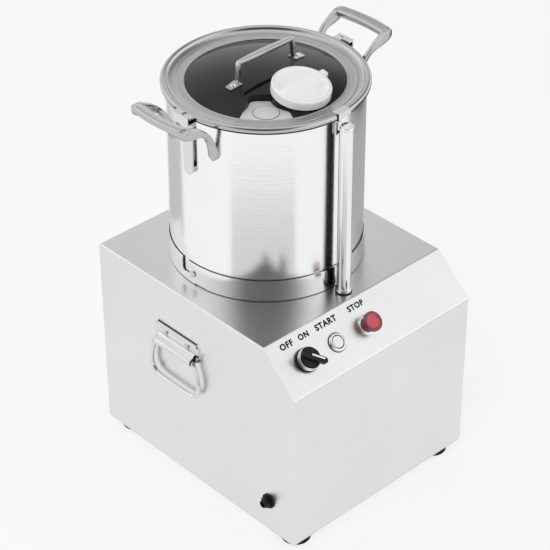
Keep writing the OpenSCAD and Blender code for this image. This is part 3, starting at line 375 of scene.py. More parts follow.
def true_round(mesh, centre, kind="post", near=0.93):
    """Gives every corner that lies on a cylinder about the upright axis, or on a sphere about the centre, the exact
    direction away from that centre, and leaves each other corner its face's own."""
    count = len(mesh.loops)
    normal = np.empty(len(mesh.polygons) * 3)
    mesh.polygons.foreach_get("normal", normal)
    normal = normal.reshape(-1, 3)
    starts = np.empty(len(mesh.polygons), int)
    totals = np.empty(len(mesh.polygons), int)
    mesh.polygons.foreach_get("loop_start", starts)
    mesh.polygons.foreach_get("loop_total", totals)
    face_of = np.repeat(np.arange(len(starts)), totals)[np.argsort(np.repeat(starts, totals), kind="stable")]
    corner = np.empty(count, int)
    mesh.loops.foreach_get("vertex_index", corner)
    place = np.empty(len(mesh.vertices) * 3)
    mesh.vertices.foreach_get("co", place)
    away = place.reshape(-1, 3)[corner] - np.array(centre)
    if kind == "post":
        away[:, 2] = 0
    away /= np.linalg.norm(away, axis=1, keepdims=True) + 1e-12
    own = normal[face_of]
    lean = (away * own).sum(1)
    out = np.where(np.abs(lean)[:, None] > near, away * np.sign(lean)[:, None], own)
    mesh.normals_split_custom_set(out.tolist())


BRIGHT = {"colour": (0.88, 0.885, 0.89), "rough": 0.12, "stretch": (5, 5, 700), "depth": 0.30, "spread": 0.06,
          "cloud": 0.04}
ring_mesh = clean_copy("seat_ring", flat=0.0)
true_round(ring_mesh, (0, POT_Y, 0), near=0.97)
# The ring is painted dark along its foot where it meets the roof: painted shade.
ring_skin = metal("ring_steel", **BRIGHT, dark=(2, ROOF, 0.0009, 0.0006, 0.15))
finish_piece("seat_ring_skin", ring_mesh, "base", ring_skin, ("seat_ring",))

# Side handles: a pressed hinge plate with a curled barrel and a raised rib between its two screws, and a bail bent
# from 7 mm polished rod that hangs from it and swings up to lift. Sizes are out from the face, along it and up.
BAIL = {"x": 0.188, "z": 0.245, "rod": 0.0036}
BAIL_HALF = [(0, 0), (0.0385, 0), (0.0425, -0.002), (0.0465, -0.012), (0.0510, -0.026), (0.0530, -0.038),
             (0.0522, -0.050), (0.0450, -0.0605), (0.032, -0.0635), (0, -0.064)]
SIDE_X = 0.180
PLATE, PLATE_Z, PLATE_ROUND, PLATE_EDGE = (0.0020, 0.098, 0.029), 0.0165, 0.006, 0.0005
BARREL_HALF, BARREL_MIDDLE = 0.0400, np.array([0.0070, 0.0012])
BARREL_LINE = [(0.0012, 0.0125), (0.0030, 0.0118), (0.0052, 0.0088), (0.0100, 0.0062), (0.0134, 0.0036), (0.0142, 0.0),
               (0.0134, -0.0036), (0.0104, -0.0060), (0.0070, -0.0062), (0.0045, -0.0058), (0.0012, -0.0058)]
RIB_HALF, RIB_R, RIB_RISE = 0.0165, 0.0042, 0.0020


def smooth_line(points, count, passes=2):
    """A polyline with its corners cut away a few times, resampled to even steps along its length."""
    line = np.array(points, float)
    for _ in range(passes):
        a, b = line[:-1], line[1:]
        line = np.vstack([line[:1], np.stack([0.75 * a + 0.25 * b, 0.25 * a + 0.75 * b], 1).reshape(-1, line.shape[1]),
                          line[-1:]])
    run = np.r_[0, np.cumsum(np.linalg.norm(np.diff(line, axis=0), axis=1))]
    even = np.linspace(0, run[-1], count)
    return np.stack([np.interp(even, run, line[:, k]) for k in range(line.shape[1])], 1)


def rod(name, line, radius, sides=24):
    """A round bar along a line that lies in a plane: each ring stands square to the line's direction."""
    along = np.gradient(line, axis=0)
    along /= np.linalg.norm(along, axis=1, keepdims=True)
    flat = np.array([1.0, 0, 0]) if np.ptp(line[:, 0]) < 1e-9 else np.array([0, 1.0, 0])
    side = np.cross(along, flat)
    turn = np.linspace(0, 2 * np.pi, sides, endpoint=False)
    ring = side[:, None] * np.cos(turn)[None, :, None] + flat * np.sin(turn)[None, :, None]
    return grid_mesh(name, line[:, None] + radius * ring, round_v=True)


def at_hinge(mesh, side):
    """Moves a mesh from the face's own measures to the hinge on one side of the housing."""
    turned = Matrix.Rotation(0 if side > 0 else math.pi, 4, "Z")
    mesh.transform(Matrix.Translation((side * SIDE_X, POT_Y, BAIL["z"])) @ turned)
    return mesh


def hinge_barrel(name, steps, shrink):
    """One outline of the side view carried along the hinge; at each step it is drawn in to its middle by a share."""
    outline = smooth_line(BARREL_LINE, 40)
    ring = BARREL_MIDDLE + np.array(shrink)[:, None, None] * (outline[None] - BARREL_MIDDLE)
    along = np.broadcast_to(np.array(steps)[:, None], ring.shape[:2])
    return grid_mesh(name, np.stack([ring[..., 0], along, ring[..., 1]], -1), round_v=True, sharp=50)


def hinge_plate(name):
    """An oblong with round corners, and then its outer edges broken."""
    work = bmesh.new()
    bmesh.ops.create_cube(work, size=1, matrix=Matrix.Translation((PLATE[0] / 2, 0, PLATE_Z))
                          @ Matrix.Diagonal((*PLATE, 1)))
    through = [e for e in work.edges if abs((e.verts[0].co - e.verts[1].co).x) > PLATE[0] / 2]
    bmesh.ops.bevel(work, geom=through, offset=PLATE_ROUND, segments=6, affect="EDGES")
    outer = [e for e in work.edges if min(v.co.x for v in e.verts) > PLATE[0] / 2]
    bmesh.ops.bevel(work, geom=outer, offset=PLATE_EDGE, segments=2, affect="EDGES")
    return finished(name, work)


def hinge_rib(name):
    """A raised rib: an oblong ring with round ends that narrows as a quarter circle while it rises."""
    turn = np.linspace(0, 2 * np.pi, 48, endpoint=False)
    rise = np.radians(np.linspace(0, 90, 7))[:-1, None]
    along = RIB_HALF * np.sign(np.cos(turn)) + RIB_R * np.cos(rise) * np.cos(turn) + 1e-5
    out = np.broadcast_to(PLATE[0] - 0.0002 + RIB_RISE * np.sin(rise), along.shape)
    up = PLATE_Z + RIB_R * np.cos(rise) * np.sin(turn)
    return grid_mesh(name, np.stack([out, along, up], -1), round_v=True, sharp=50)


# The plate is painted dark along its top edge: painted shade for the gap shadow above the plate.
hinge_steel = metal("hinge_steel", (0.72, 0.725, 0.73), 0.20, (400, 6, 400), depth=0.10, spread=0.10, cloud=0.05,
                    dark=(2, BAIL["z"] + 0.0315, 0.0012, 0.0004, 0.12))
bright_rod = metal("bright_rod", (0.74, 0.745, 0.75), 0.14, (200, 200, 200), depth=0.03, spread=0.06, cloud=0.04)
for side, body in ((-1, "bail_left"), (1, "bail_right")):
    hand = "left" if side < 0 else "right"
    loop = smooth_line(BAIL_HALF, 70, passes=3)
    loop = np.vstack([loop, np.stack([-loop[::-1, 0], loop[::-1, 1]], 1)[1:-1]])
    path = np.stack([np.full(len(loop), side * BAIL["x"]), POT_Y + loop[:, 0], BAIL["z"] + loop[:, 1]], 1)
    path = np.vstack([path, path[:1]])
    finish_piece(f"bail_rod_{hand}", rod(f"bail_rod_{hand}", path, BAIL["rod"]), body, bright_rod,
                 (f"side_bail_{hand}",))
    steps = BARREL_HALF * np.array([-1, -0.995, -0.975, 0.975, 0.995, 1])
    plate = merged("hinge", [hinge_barrel("barrel", steps, (0.93, 0.98, 1.0, 1.0, 0.98, 0.93)), hinge_plate("plate"),
                             hinge_rib("rib")])
    finish_piece(f"hinge_{hand}", at_hinge(plate, side), "base", hinge_steel, (f"hinge_plate_{hand}",))
    # A black core a little inside the barrel shows at both its open ends: painted shade for the dark inside of the
    # curl.
    barrel_end_shade = hinge_barrel("barrel_end_shade", (-BARREL_HALF - 0.0006, BARREL_HALF + 0.0006), (0.90, 0.90))
    finish_piece(f"hinge_end_shade_{hand}", at_hinge(barrel_end_shade, side), "base", rubber)
pressed("hinge_plate_screws", "base", plated, edge=0.0004)

# Cable gland: black moulded nylon, its body screwed through the left side of the housing near the front, with a
# cap nut outside that would grip a cord.
nylon = moulded("black_nylon", (0.010, 0.010, 0.011), 0.38, depth=0.06, shine=0.2)
for node in ("gland_body", "gland_nut"):
    pressed(node, "base", nylon, edge=0.0004)

# Controls: 22 mm fittings through the sloped panel. The selector is a black lever in a bright ring on a black collar,
# START a white button in a chrome ring with a thin black ring round its foot and a black sleeve in the gap between
# button and ring, which is painted shade for that gap, and STOP a clear red head over a pale core.
PANEL_TILT = math.atan2(59, 64)
PANEL_EDGE = (-0.212, 0.288)  # y and z of the panel's lower edge
ROW = 0.042  # how far up the slope the controls stand
SELECTOR_X, START_X, STOP_X = -0.127, -0.066, -0.004
LEVER_TURN, SOLID_TURN = -43, -25  # heading of the lever in degrees, here and in the solid part
CORE_R, RIM_R, RIM_TONE = 0.0104, 0.0120, 0.30  # the STOP head's tone falls between these two radii
chrome = metal("chrome_trim", (0.78, 0.78, 0.785), 0.09, (300, 300, 300), depth=0.01, spread=0.04, cloud=0.03)
red = moulded("red_button", (0.50, 0.030, 0.055), 0.16, speck=0.02, depth=0.02, coat=0.8)
milk = moulded("white_button", (0.80, 0.80, 0.79), 0.28, speck=0.01, depth=0.02)


def panel_place(x, s, up=0.0):
    """Matrix that stands a thing on the panel: x to the right, s up the slope and up off its face, in metres."""
    rise, run = math.sin(PANEL_TILT), math.cos(PANEL_TILT)
    spot = (x, PANEL_EDGE[0] + s * run - up * rise, PANEL_EDGE[1] + s * rise + up * run)
    return Matrix.Translation(spot) @ Matrix.Rotation(PANEL_TILT, 4, "X")


def fitting(name, profile, x, material, stands_for=()):
    """A turned piece of a control: a closed outline in (radius, height over the panel) in millimetres."""
    mesh = lathe(name, np.array(profile + profile[:1]) / 1000, (0, 0), sides=96, sharp=35)
    mesh.transform(panel_place(x, ROW))
    finish_piece(name, mesh, "base", material, stands_for)


pressed("start_button", "start", milk, edge=0.0006, rounds=3)
pressed("stop_button", "stop", red, edge=0.0006, rounds=3)
fitting("selector_collar", [(9.6, -24), (10.9, -24), (10.9, 0), (18.3, 0), (18.3, 4.6), (17.9, 5.4), (9.6, 5.4)],
        SELECTOR_X, nylon)
fitting("selector_ring", [(15.3, 5.3), (17.4, 5.3), (17.3, 11.6), (16.9, 12.6), (16.2, 13.0), (15.6, 12.6),
                          (15.3, 11.8)], SELECTOR_X, chrome, ("selector_bezel",))
fitting("start_ring", [(10.1, -24), (10.9, -24), (10.9, 0), (14.3, 0), (14.3, 1.2), (13.9, 2.6), (13.0, 3.7),
                       (11.8, 4.1), (10.6, 3.9), (10.2, 3.4), (10.1, 2.8), (10.1, -23)],
        START_X, chrome, ("start_bezel",))
fitting("stop_ring", [(9.8, -24), (10.9, -24), (10.9, 0), (15.5, 0), (15.5, 2.0), (15.0, 3.2), (13.8, 4.0),
                      (9.8, 4.0)], STOP_X, chrome, ("stop_bezel",))
# A thin black ring round the foot of the START ring.
fitting("start_foot_ring", [(11.0, 0), (15.0, 0), (15.0, 0.9), (11.0, 0.9)], START_X, nylon)
# A black sleeve between the START button and its ring: painted shade for the gap.
fitting("start_gap_shade", [(9.1, -20), (10.0, -20), (10.0, 3.0), (9.1, 3.0)], START_X, nylon)


def turned_on_panel(degrees):
    """Matrix that turns a thing about the selector's axis."""
    place = panel_place(SELECTOR_X, ROW)
    return place @ Matrix.Rotation(math.radians(degrees), 4, "Z") @ place.inverted()


def block(name, size, place=(0, 0, 0), edge=0.0, rounds=2, taper=1.0):
    """A box of a size round a place, its end towards +x narrowed by the taper, and then its edges rounded off."""
    work = bmesh.new()
    bmesh.ops.create_cube(work, size=1, matrix=Matrix.Diagonal((*size, 1)))
    bmesh.ops.scale(work, vec=(1, taper, 1), verts=[v for v in work.verts if v.co.x > 0])
    bmesh.ops.translate(work, vec=place, verts=work.verts)
    if edge:
        bmesh.ops.bevel(work, geom=work.edges[:], offset=edge, segments=rounds, affect="EDGES")
    return finished(name, work)


knob = pressed("selector_knob", "selector", nylon, edge=0.0012, rounds=3)
knob.data.transform(turned_on_panel(LEVER_TURN - SOLID_TURN))
inlay = block("selector_inlay", (0.021, 0.0026, 0.0004), (0.0085, 0.0022, 0.0211))
inlay.transform(turned_on_panel(LEVER_TURN) @ panel_place(SELECTOR_X, ROW))
finish_piece("selector_inlay", inlay, "selector", milk)

tree = red.node_tree
shader = tree.nodes["Principled BSDF"]
spot = joined(tree, "VectorMath", {0: joined(tree, "TexCoord").outputs["Object"],
                                   1: panel_place(STOP_X, ROW).translation}, operation="SUBTRACT").outputs[0]
off_axis = joined(tree, "VectorMath", {0: spot, 1: (0, -math.sin(PANEL_TILT), math.cos(PANEL_TILT))},
                  operation="CROSS_PRODUCT").outputs[0]
far = joined(tree, "VectorMath", {0: off_axis}, operation="LENGTH").outputs["Value"]
fade = joined(tree, "MapRange", {0: far, 1: CORE_R, 2: RIM_R, 3: 1.0, 4: RIM_TONE}).outputs[0]
tint = shader.inputs["Base Color"].links[0].from_socket
shaded = joined(tree, "VectorMath", {0: tint, 3: fade}, operation="SCALE").outputs[0]
tree.links.new(shaded, shader.inputs["Base Color"])

# Words: OFF, ON, START and STOP, screen-printed in black on the panel above the controls. Each has its middle and
# its width in metres.
WORDS = (("OFF", -0.143, 0.024), ("ON", -0.110, 0.019), ("START", -0.066, 0.041), ("STOP", -0.006, 0.031))
WORD_ROW, INK_LIFT = 0.074, 0.0001
ink = moulded("print_ink", (0.010, 0.010, 0.011), 0.6, depth=0.02, shine=0.1)
for word, x, width in WORDS:
    curve = bpy.data.curves.new(word, "FONT")
    curve.body = word
    curve.align_x, curve.align_y = "CENTER", "CENTER"
    curve.offset, curve.extrude, curve.space_character = 0.045, 0.004, 1.16
    text = bpy.data.objects.new("word_shape", curve)
    bpy.context.collection.objects.link(text)
    bpy.context.view_layer.update()
    mesh = bpy.data.meshes.new_from_object(text)
    scale = width / text.dimensions[0]
    bpy.data.objects.remove(text)
    mesh.transform(panel_place(x, WORD_ROW, INK_LIFT) @ Matrix.Diagonal((scale, scale, 0.02, 1)))
    finish_piece("word_" + word.lower(), mesh, "base", ink)

# Pot: deep-drawn stainless shell, polished outside and in, with a welded centre tube that the motor shaft comes up
# through, and two pins that lock it in the seat ring.
POT_R, POT_LOW, RIM = 0.144, 0.3493, 0.633
POT_WALL, POT_CORNER, FLOOR_T, HOLE_R = 0.0015, 0.010, 0.002, 0.0301


def arc(cx, cz, r, a0, a1, n):
    """n + 1 points round a circle from one angle to another, in degrees."""
    a = np.radians(np.linspace(a0, a1, n + 1))
    return np.stack([cx + r * np.cos(a), cz + r * np.sin(a)], 1)


levels = np.linspace(POT_LOW + POT_CORNER, RIM - 0.0007, 24)[1:-1]
bend = (POT_R - POT_CORNER, POT_LOW + POT_CORNER)
pot_line = np.vstack([
    [(HOLE_R, POT_LOW), (0.09, POT_LOW)], arc(*bend, POT_CORNER, -90, 0, 8),
    np.stack([np.full(22, POT_R), levels], 1),
    arc(POT_R - POT_WALL / 2, RIM - POT_WALL / 2, POT_WALL / 2, 0, 180, 6),
    np.stack([np.full(22, POT_R - POT_WALL), levels[::-1]], 1), arc(*bend, POT_CORNER - POT_WALL, 0, -90, 8),
    [(0.09, POT_LOW + FLOOR_T), (HOLE_R, POT_LOW + FLOOR_T), (HOLE_R, POT_LOW)]])
pot_skin = metal("pot_steel", (0.93, 0.935, 0.94), 0.15, (5, 5, 1000), depth=0.42, spread=0.08, cloud=0.03)
finish_piece("pot_wall", lathe("pot_wall", pot_line), "pot", pot_skin, ("pot_shell",))
pressed("centre_tube", "pot", pot_skin, edge=0)
pressed("bayonet_pins", "pot", bright_rod, edge=0.0008, rounds=3)

# Pot handles: investment-cast stainless, polished and welded on. Two blade-like legs rise from spoon feet on the
# wall and carry a bowed grip. The legs' side view is given as distance from the pot's axis and height over its rim.
GRIP_BOW, GRIP_REACH, GRIP_HALF, GRIP_UP, HANDLE_TURN = 0.260, 0.2045, 0.0525, 0.0147, 1.3
GRIP_ACROSS, GRIP_DEEP = np.array([(0.0084, 0, 0.0016), (-0.0008, 0, 0.0058)])  # half-widths of its section
GRIP_END, GRIP_CLOSE = 0.0085, 0.85  # the length of each end that thins out, and how far it does
BEAD_CLEAR = 0.1514  # nothing of a handle comes nearer to the axis than this beside the lid
LEG_OUTER = [(0.2078, 0.0190), (0.2090, 0.0105), (0.2060, 0.0045), (0.1905, -0.0005), (0.176, -0.002),
             (0.167, -0.0065), (0.158, -0.018), (0.1525, -0.032), (0.149, -0.045), (0.1435, -0.0575)]
LEG_INNER = [(0.1915, 0.0195), (0.1885, 0.0180), (0.178, 0.0130), (0.168, 0.0065), (0.160, -0.001),
             (0.151, -0.011), (0.1445, -0.024), (0.139, -0.036), (0.136, -0.048), (0.1365, -0.0575)]
LEG_STEPS, LEG_APART, LEG_LEAN, LEAN_FROM = 60, 0.0485, 0.0075, 0.35
LEG_WIDE, LEG_WIDER, SPOON, SPOON_AT, SPOON_LONG, TIP = 0.0038, 0.0004, 0.0028, 0.93, 0.12, 0.10
cast = metal("cast_handle", (0.52, 0.525, 0.53), 0.17, (90, 90, 90), depth=0.05, spread=0.10, cloud=0.06)


def loft(name, centre, across, deep, power=0.6, sides=28, sharp=50):
    """A bar whose section at each step is a rounded box: across and deep are its half-width vectors there."""
    turn = np.linspace(0, 2 * np.pi, sides, endpoint=False)
    c, s = np.cos(turn), np.sin(turn)
    c, s = np.sign(c) * np.abs(c) ** power, np.sign(s) * np.abs(s) ** power
    ring = centre[:, None] + across[:, None] * c[None, :, None] + deep[:, None] * s[None, :, None]
    return grid_mesh(name, ring, round_v=True, sharp=sharp)


def grip_bar(name):
    """The grip: a rounded box section carried along a bow in plan, that thins out at both ends."""
    y = np.linspace(-GRIP_HALF, GRIP_HALF, 49)
    x = GRIP_REACH - GRIP_BOW + np.sqrt(GRIP_BOW ** 2 - y ** 2)
    end = np.clip((np.abs(y) - (GRIP_HALF - GRIP_END)) / GRIP_END, 0, 1)
    size = np.sqrt(1 - GRIP_CLOSE * end ** 2)[:, None]
    centre = np.stack([x, y, np.full_like(y, RIM + GRIP_UP)], 1)
    return loft(name, centre, size * GRIP_ACROSS, size * GRIP_DEEP, power=0.5)


def leg(name, hand):
    """A leg: sections between the outer and the inner line of the side view. From a share of its length on it leans
    inwards, and near its end it widens to a spoon and then closes."""
    outer, inner = smooth_line(LEG_OUTER, LEG_STEPS), smooth_line(LEG_INNER, LEG_STEPS)
    middle, half = (outer + inner) / 2, (outer - inner) / 2
    step, none = np.linspace(0, 1, LEG_STEPS), np.zeros(LEG_STEPS)
    lean = hand * (LEG_APART - LEG_LEAN * np.clip((step - LEAN_FROM) / (1 - LEAN_FROM), 0, 1))
    close = np.sqrt(np.clip(1 - np.clip((step - (1 - TIP)) / TIP, 0, 1) ** 2, 0.0009, 1))
    wide = (LEG_WIDE + LEG_WIDER * step + SPOON * np.exp(-((step - SPOON_AT) / SPOON_LONG) ** 2)) * close
    return loft(name, np.stack([middle[:, 0], lean, RIM + middle[:, 1]], 1), np.stack([none, wide, none], 1),
                np.stack([half[:, 0], none, half[:, 1]], 1), power=0.45)


def pot_handle(name, side):
    """The grip and its two legs. What would reach into the wall or the lid is moved out to it, and the whole is
    then turned to its side of the pot."""
    mesh = merged(name, [grip_bar(name), leg(name, -1), leg(name, 1)])
    place = np.empty(len(mesh.vertices) * 3)
    mesh.vertices.foreach_get("co", place)
    place = place.reshape(-1, 3)
    radius = np.hypot(place[:, 0], place[:, 1])
    least = np.where(place[:, 2] > RIM - 0.004, BEAD_CLEAR, POT_R - 0.0004)
    place[:, :2] *= np.maximum(1, least / radius)[:, None]
    away = math.radians(HANDLE_TURN) + (math.pi if side < 0 else 0)
    spin = np.array([[math.cos(away), math.sin(away)], [-math.sin(away), math.cos(away)]])
    place[:, :2] = place[:, :2] @ spin
    place[:, 1] += POT_Y
    mesh.vertices.foreach_set("co", place.ravel())
    mesh.update()
    return mesh


for side, hand in ((-1, "left"), (1, "right")):
    finish_piece(f"cast_handle_{hand}", pot_handle(f"cast_handle_{hand}", side), "pot", cast,
                 (f"pot_handle_{hand}",))

# Lid catches: polished stainless, on each side a long strap foot welded down the pot's wall and a small bent
# bracket on it, under which the lid's lug turns.
pressed("lid_catches", "pot", bright_rod, edge=0.0005)

# Interlock post: polished stainless tube with the lid's sensor inside, screwed to the roof through a black gasket,
# with a plug for a cap. Its back, which only the pot's wall mirrors, is painted dark: painted shade for the narrow gap
# between the two mirrors.
POST = (0.0, POT_Y - 0.1634)
POST_R, POST_WALL, POST_LOW, POST_TOP = 0.0106, 0.0015, 0.3492, 0.621
post_line = np.vstack([[(POST_R - POST_WALL, POST_LOW), (POST_R + 0.0014, POST_LOW)],
                       arc(POST_R + 0.0008, POST_LOW + 0.0047, 0.0006, 0, 90, 4),
                       [(POST_R, POST_LOW + 0.0055)],
                       np.stack([np.full(12, POST_R), np.linspace(POST_LOW + 0.008, POST_TOP, 12)], 1),
                       [(POST_R - POST_WALL, POST_TOP)]])
post_line = np.vstack([post_line, post_line[:1]])
# The post's back is painted dark: painted shade for the gap between it and the pot.
post_skin = metal("post_steel", **BRIGHT, dark=(1, POST[1] + 0.012, 0.006, 0.003, 0.05))
polish = metal("polished_steel", **BRIGHT)
finish_piece("post_wall", lathe("post_wall", post_line, POST, sides=96), "base", post_skin, ("post_tube",))
pressed("post_cap", "base", polish, edge=0.0004)
pressed("post_gasket", "base", rubber, edge=0.0003)

# Cutter: two S-shaped knives of ground stainless, clamped on a turned hub that drops over the centre tube and on to
# the motor's shaft, where a black knob nut holds it.
ground = metal("ground_blade", (0.80, 0.805, 0.81), 0.18, (700, 700, 20), depth=0.05, spread=0.1)
for node in ("cutter_hub", "lower_knife", "upper_knife", "knife_clamp"):
    pressed(node, "rotor", ground, edge=0.0004)
pressed("hub_nut", "rotor", nylon, edge=0.0008)

# Lid ring: spun stainless. A flat brushed seat for the window, a wall that rises to a rolled bead over the gasket,
# and a fine step in that wall where the spinning tool changed. The gasket sits in the bead, on the pot's rim.
BEAD = np.array([POT_R + 0.00175, RIM + 0.0016])
BEAD_R, RING_T, FLAT_Z, WINDOW_R = 0.00475, 0.0009, RIM - 0.001, 0.116


def thickened(line, thick):
    """A closed outline: the line, and the same line moved square to itself by the thickness, backwards."""
    along = np.gradient(line, axis=0)
    along /= np.linalg.norm(along, axis=1, keepdims=True)
    return np.vstack([line, (line + thick * np.stack([along[:, 1], -along[:, 0]], 1))[::-1]])


seat = np.array([(0, -0.0008), (0.0001, 0.0007), (0.0014, 0.0008), (0.0021, 0), (0.0130, 0), (0.0136, 0.0009),
                 (0.0150, 0.0010), (0.0158, 0.0001), (0.0200, 0.0009), (0.0238, 0.0026), (0.0252, 0.0042)])
brim = np.vstack([smooth_line(seat + (WINDOW_R, FLAT_Z), 90, passes=2), arc(*BEAD, BEAD_R, 150, 0, 24),
                  [(BEAD[0] + BEAD_R, RIM - 0.0006)]])
ring_line = thickened(brim, RING_T)
spun = metal("spun_lid", (0.50, 0.505, 0.51), 0.14, (700, 1, 700), depth=0.8, spread=0.55, cloud=0.0, turned=True)
finish_piece("lid_rim", lathe("lid_rim", ring_line, sides=320, sharp=22), "lid", spun, ("lid_ring",))
pressed("window_ring", "lid", plated, edge=0)
inside_rim = POT_R + 0.0003
gasket_line = np.vstack([arc(*BEAD, 0.0032, 0, 180, 16), [(BEAD[0] - 0.0012, RIM + 0.0004), (inside_rim, RIM + 0.0002),
                         (inside_rim, RIM - 0.0042)], arc(BEAD[0] + 0.0022, RIM - 0.0030, 0.0012, -90, 0, 4),
                         [(BEAD[0] + 0.0034, RIM + 0.0010), BEAD + (0.0032, 0)]])
seal = lathe("seal_bead", gasket_line, sides=192)
finish_piece("seal_bead", seal, "gasket", rubber, ("lid_gasket",))

# Window: blow-formed dome of smoked polycarbonate, clamped in the ring from below, with a pocket for the port plate
# and a neck for the feed cap. Its skin is shaded as the true ball, so that it mirrors like one.
DOME_H = 0.0164
DOME_R = (WINDOW_R ** 2 + DOME_H ** 2) / (2 * DOME_H)
DOME_C = FLAT_Z + DOME_H - DOME_R
smoke = moulded("smoked_dome", (0.005, 0.005, 0.006), 0.07, speck=0.0, size=60.0, depth=0.004, shine=0.36)
smoke.node_tree.nodes["Principled BSDF"].inputs["Alpha"].default_value = 0.985
dome_mesh = clean_copy("lid_window", flat=0.0)
true_round(dome_mesh, (0, POT_Y, DOME_C), kind="ball", near=0.985)
finish_piece("window_dome", dome_mesh, "lid", smoke, ("lid_window",))

# Port plate and disc: pale moulded plastic that fills the pocket, and a round plug pressed into it. A dark seam
# shows round the plug.
PORT_OFF, PORT_TURN, PORT_R, PORT_TOP = 0.0955, math.radians(-132.6), 0.0184, 0.63305
pale = moulded("pale_port", (0.52, 0.525, 0.53), 0.35, speck=0.16, size=160.0, depth=0.5)
pressed("port_plate", "lid", pale, edge=0.0006)
pressed("port_disc", "lid", pale, edge=0.0005)
seam = [(PORT_R, PORT_TOP - 0.00085), (PORT_R + 0.0008, PORT_TOP - 0.00085), (PORT_R + 0.0008, PORT_TOP),
        (PORT_R, PORT_TOP), (PORT_R, PORT_TOP - 0.00085)]
port = (PORT_OFF * math.cos(PORT_TURN), POT_Y + PORT_OFF * math.sin(PORT_TURN))
finish_piece("port_seam", lathe("port_seam", seam, port, sides=96), "lid", rubber)

# Lid lugs and interlock lug: pressed stainless, welded to the bead. The narrow finger holds a magnet over the post.
# A side lug is a short strip of ring: its corners carried round the pot's axis.
LUG_R, LUG_LOW, LUG_TOP, LUG_HALF = np.array([0.1499, 0.1588]), RIM + 0.0016, RIM + 0.0040, 2.6
for side, turn in (("right", 3.3), ("left", 183.3)):
    a = np.radians(np.linspace(turn - LUG_HALF, turn + LUG_HALF, 9))
    r = LUG_R[[0, 1, 1, 0]][:, None]
    z = np.broadcast_to(np.array([LUG_TOP, LUG_TOP, LUG_LOW, LUG_LOW])[:, None], (4, 9))
    mesh = grid_mesh("lug_" + side, np.stack([r * np.cos(a), POT_Y + r * np.sin(a), z], -1), round_u=True, sharp=30)
    finish_piece("lid_lug_" + side, mesh, "lid", bright_rod)
pressed("interlock_lug", "lid", bright_rod, edge=0.0004)
pressed("interlock_magnet", "lid", nylon, edge=0.0003)

# Lid handle: forged stainless bar, polished, wider in the middle, and welded to two small feet that are bolted
# through the dome. Its line is given as distance from the middle and height over the window's seat.
CROWN, BAR_FOOT = 0.049, 0.0615
BAR_HALF_LINE = [(0.0540, 0.0140), (0.0528, 0.030), (0.0515, CROWN - 0.0040), (0.0490, CROWN - 0.0036),
                 (0.024, CROWN - 0.0032), (0, CROWN - 0.0031)]


def dome_place(r, turn, lift=0.0):
    """Matrix that stands a thing on the dome, r from its middle towards turn, in degrees."""
    return (Matrix.Translation((0, POT_Y, DOME_C)) @ Matrix.Rotation(math.radians(turn), 4, "Z")
            @ Matrix.Rotation(math.asin(r / DOME_R), 4, "Y") @ Matrix.Translation((0, 0, DOME_R + lift)))


bar_side = np.array(BAR_HALF_LINE)
bar = np.vstack([bar_side * (-1, 1), bar_side[-2::-1]]) + (0, FLAT_Z)
bar = smooth_line(bar, 150)
along = np.gradient(bar, axis=0)
along /= np.linalg.norm(along, axis=1, keepdims=True)
centre = np.stack([bar[:, 0], np.full(150, POT_Y), bar[:, 1]], 1)
out = np.clip(np.abs(bar[:, 0]) / 0.050, 0, 1)[:, None]
drop = np.clip((FLAT_Z + CROWN - 0.006 - bar[:, 1]) / 0.025, 0, 1)[:, None]
thin = np.stack([-along[:, 1], np.zeros(150), along[:, 0]], 1) * (0.0034 - 0.0009 * drop)
wide = np.tile([0, 1, 0], (150, 1)) * (0.0052 - 0.0018 * out ** 2 + 0.0006 * drop)
pieces = [loft("bar", centre, wide, thin, power=0.38)]
for turn in (0, 180):
    foot = block("foot", (0.021, 0.0165, 0.0026), edge=0.0005, taper=0.72)
    foot.transform(dome_place(BAR_FOOT, turn, 0.0014))
    pieces.append(foot)
forged = metal("forged_bar", (0.58, 0.585, 0.59), 0.17, (120, 120, 120), depth=0.05, spread=0.10, cloud=0.05)
finish_piece("lid_bar", merged("lid_bar", pieces), "lid", forged, ("lid_handle",))
pressed("handle_screws", "lid", bright_rod, edge=0.0005)

# Feed cap: white moulded plastic, pushed on to the neck, with a thumb rib left between two scoops and a lifting tab
# at its right edge. The skin's height is that of a turned outline, less the scoops, plus the rib.
CAP_R, CAP_H, CAP_ROUND, CAP_WALL, CAP_OFF = 0.0432, 0.013, 0.004, 0.0018, 0.072
# The depth of the scoops and the height of the rib, and (place, fade): where each stops, and over what distance.
SCOOP, SCOOP_INNER, SCOOP_OUTER = 0.0072, (0.0052, 0.008), (0.0375, 0.009)
RIB, RIB_SIDE, RIB_END = 0.0040, (0.0075, 0.004), (0.041, 0.008)


def eased_step(t):
    """0 below 0, 1 above 1, and a smooth rise between."""
    t = np.clip(t, 0, 1)
    return t * t * (3 - 2 * t)


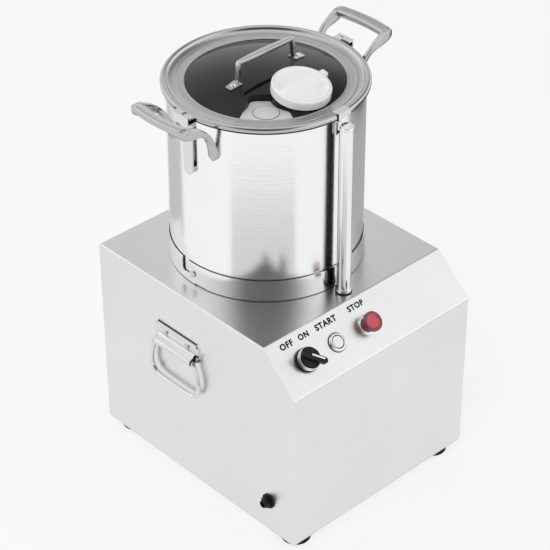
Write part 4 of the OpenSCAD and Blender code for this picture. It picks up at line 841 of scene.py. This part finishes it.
bend = np.radians(np.linspace(0, 90, 9))
radius = np.r_[np.linspace(0, 0.040, 34), CAP_R - CAP_ROUND + CAP_ROUND * np.sin(bend), CAP_R, CAP_R,
               CAP_R - CAP_WALL, CAP_R - CAP_WALL, 0.0]
height = np.r_[np.full(34, CAP_H), CAP_H - CAP_ROUND + CAP_ROUND * np.cos(bend), 0.004, -0.001, -0.001, 0.0028,
               0.0028]
turn = np.linspace(0, 2 * np.pi, 144, endpoint=False)
cx, cy = radius[None] * np.cos(turn)[:, None], radius[None] * np.sin(turn)[:, None]
scoop = (SCOOP * eased_step((np.abs(cy) - SCOOP_INNER[0]) / SCOOP_INNER[1])
         * eased_step((SCOOP_OUTER[0] - radius[None]) / SCOOP_OUTER[1]))
rib = RIB * eased_step((RIB_SIDE[0] - np.abs(cy)) / RIB_SIDE[1]) * eased_step((RIB_END[0] - np.abs(cx)) / RIB_END[1])
on_top = (np.arange(len(radius)) < 42)[None]
cz = height[None] + np.where(on_top, rib - scoop, 0)
cap_mesh = grid_mesh("cap", np.stack([cx, cy, cz], -1), round_u=True, sharp=50)
tab = block("tab", (0.012, 0.0125, 0.0085), (0.0405, 0, 0.0125), edge=0.0018, rounds=4)
tab.shade_smooth()
cap_all = merged("feed_cap_skin", [cap_mesh, tab])
cap_all.transform(dome_place(CAP_OFF, -90) @ Matrix.Rotation(math.radians(90), 4, "Z"))
white = moulded("white_cap", (0.79, 0.79, 0.785), 0.36, speck=0.01, depth=0.03)
finish_piece("feed_cap_skin", cap_all, "cap", white, ("feed_cap",))

# Inside the base: the motor in cast alloy, laminated iron and a ground shaft, and the switchgear and the fan in grey
# plastic, in their plain workshop finishes. Nothing shows them.
alloy = metal("cast_alloy", (0.50, 0.52, 0.54), 0.45, (120, 120, 120), depth=0.2, spread=0.12, cloud=0.2)
iron = metal("motor_iron", (0.30, 0.29, 0.28), 0.5, (20, 20, 900), depth=0.2, spread=0.12, cloud=0.2)
grey = moulded("grey_plastic", (0.20, 0.21, 0.22), 0.45)
for material, slot, body, names in (
        (alloy, "motor_alloy", "base", ("motor_top_shield", "motor_frame", "motor_bottom_shield", "capacitor")),
        (iron, "motor_iron", "base", ("stator",)), (iron, "motor_iron", "rotor", ("rotor_core",)),
        (bright_rod, "polished_steel", "rotor", ("motor_shaft",)),
        (grey, "grey_plastic", "rotor", ("fan",)), (rubber, "black_rubber", "base", ("shaft_seal",)),
        (grey, "grey_plastic", "base", ("contact_blocks", "contactor", "interlock_sensor"))):
    for node in names:
        pressed(node, body, material, edge=0)
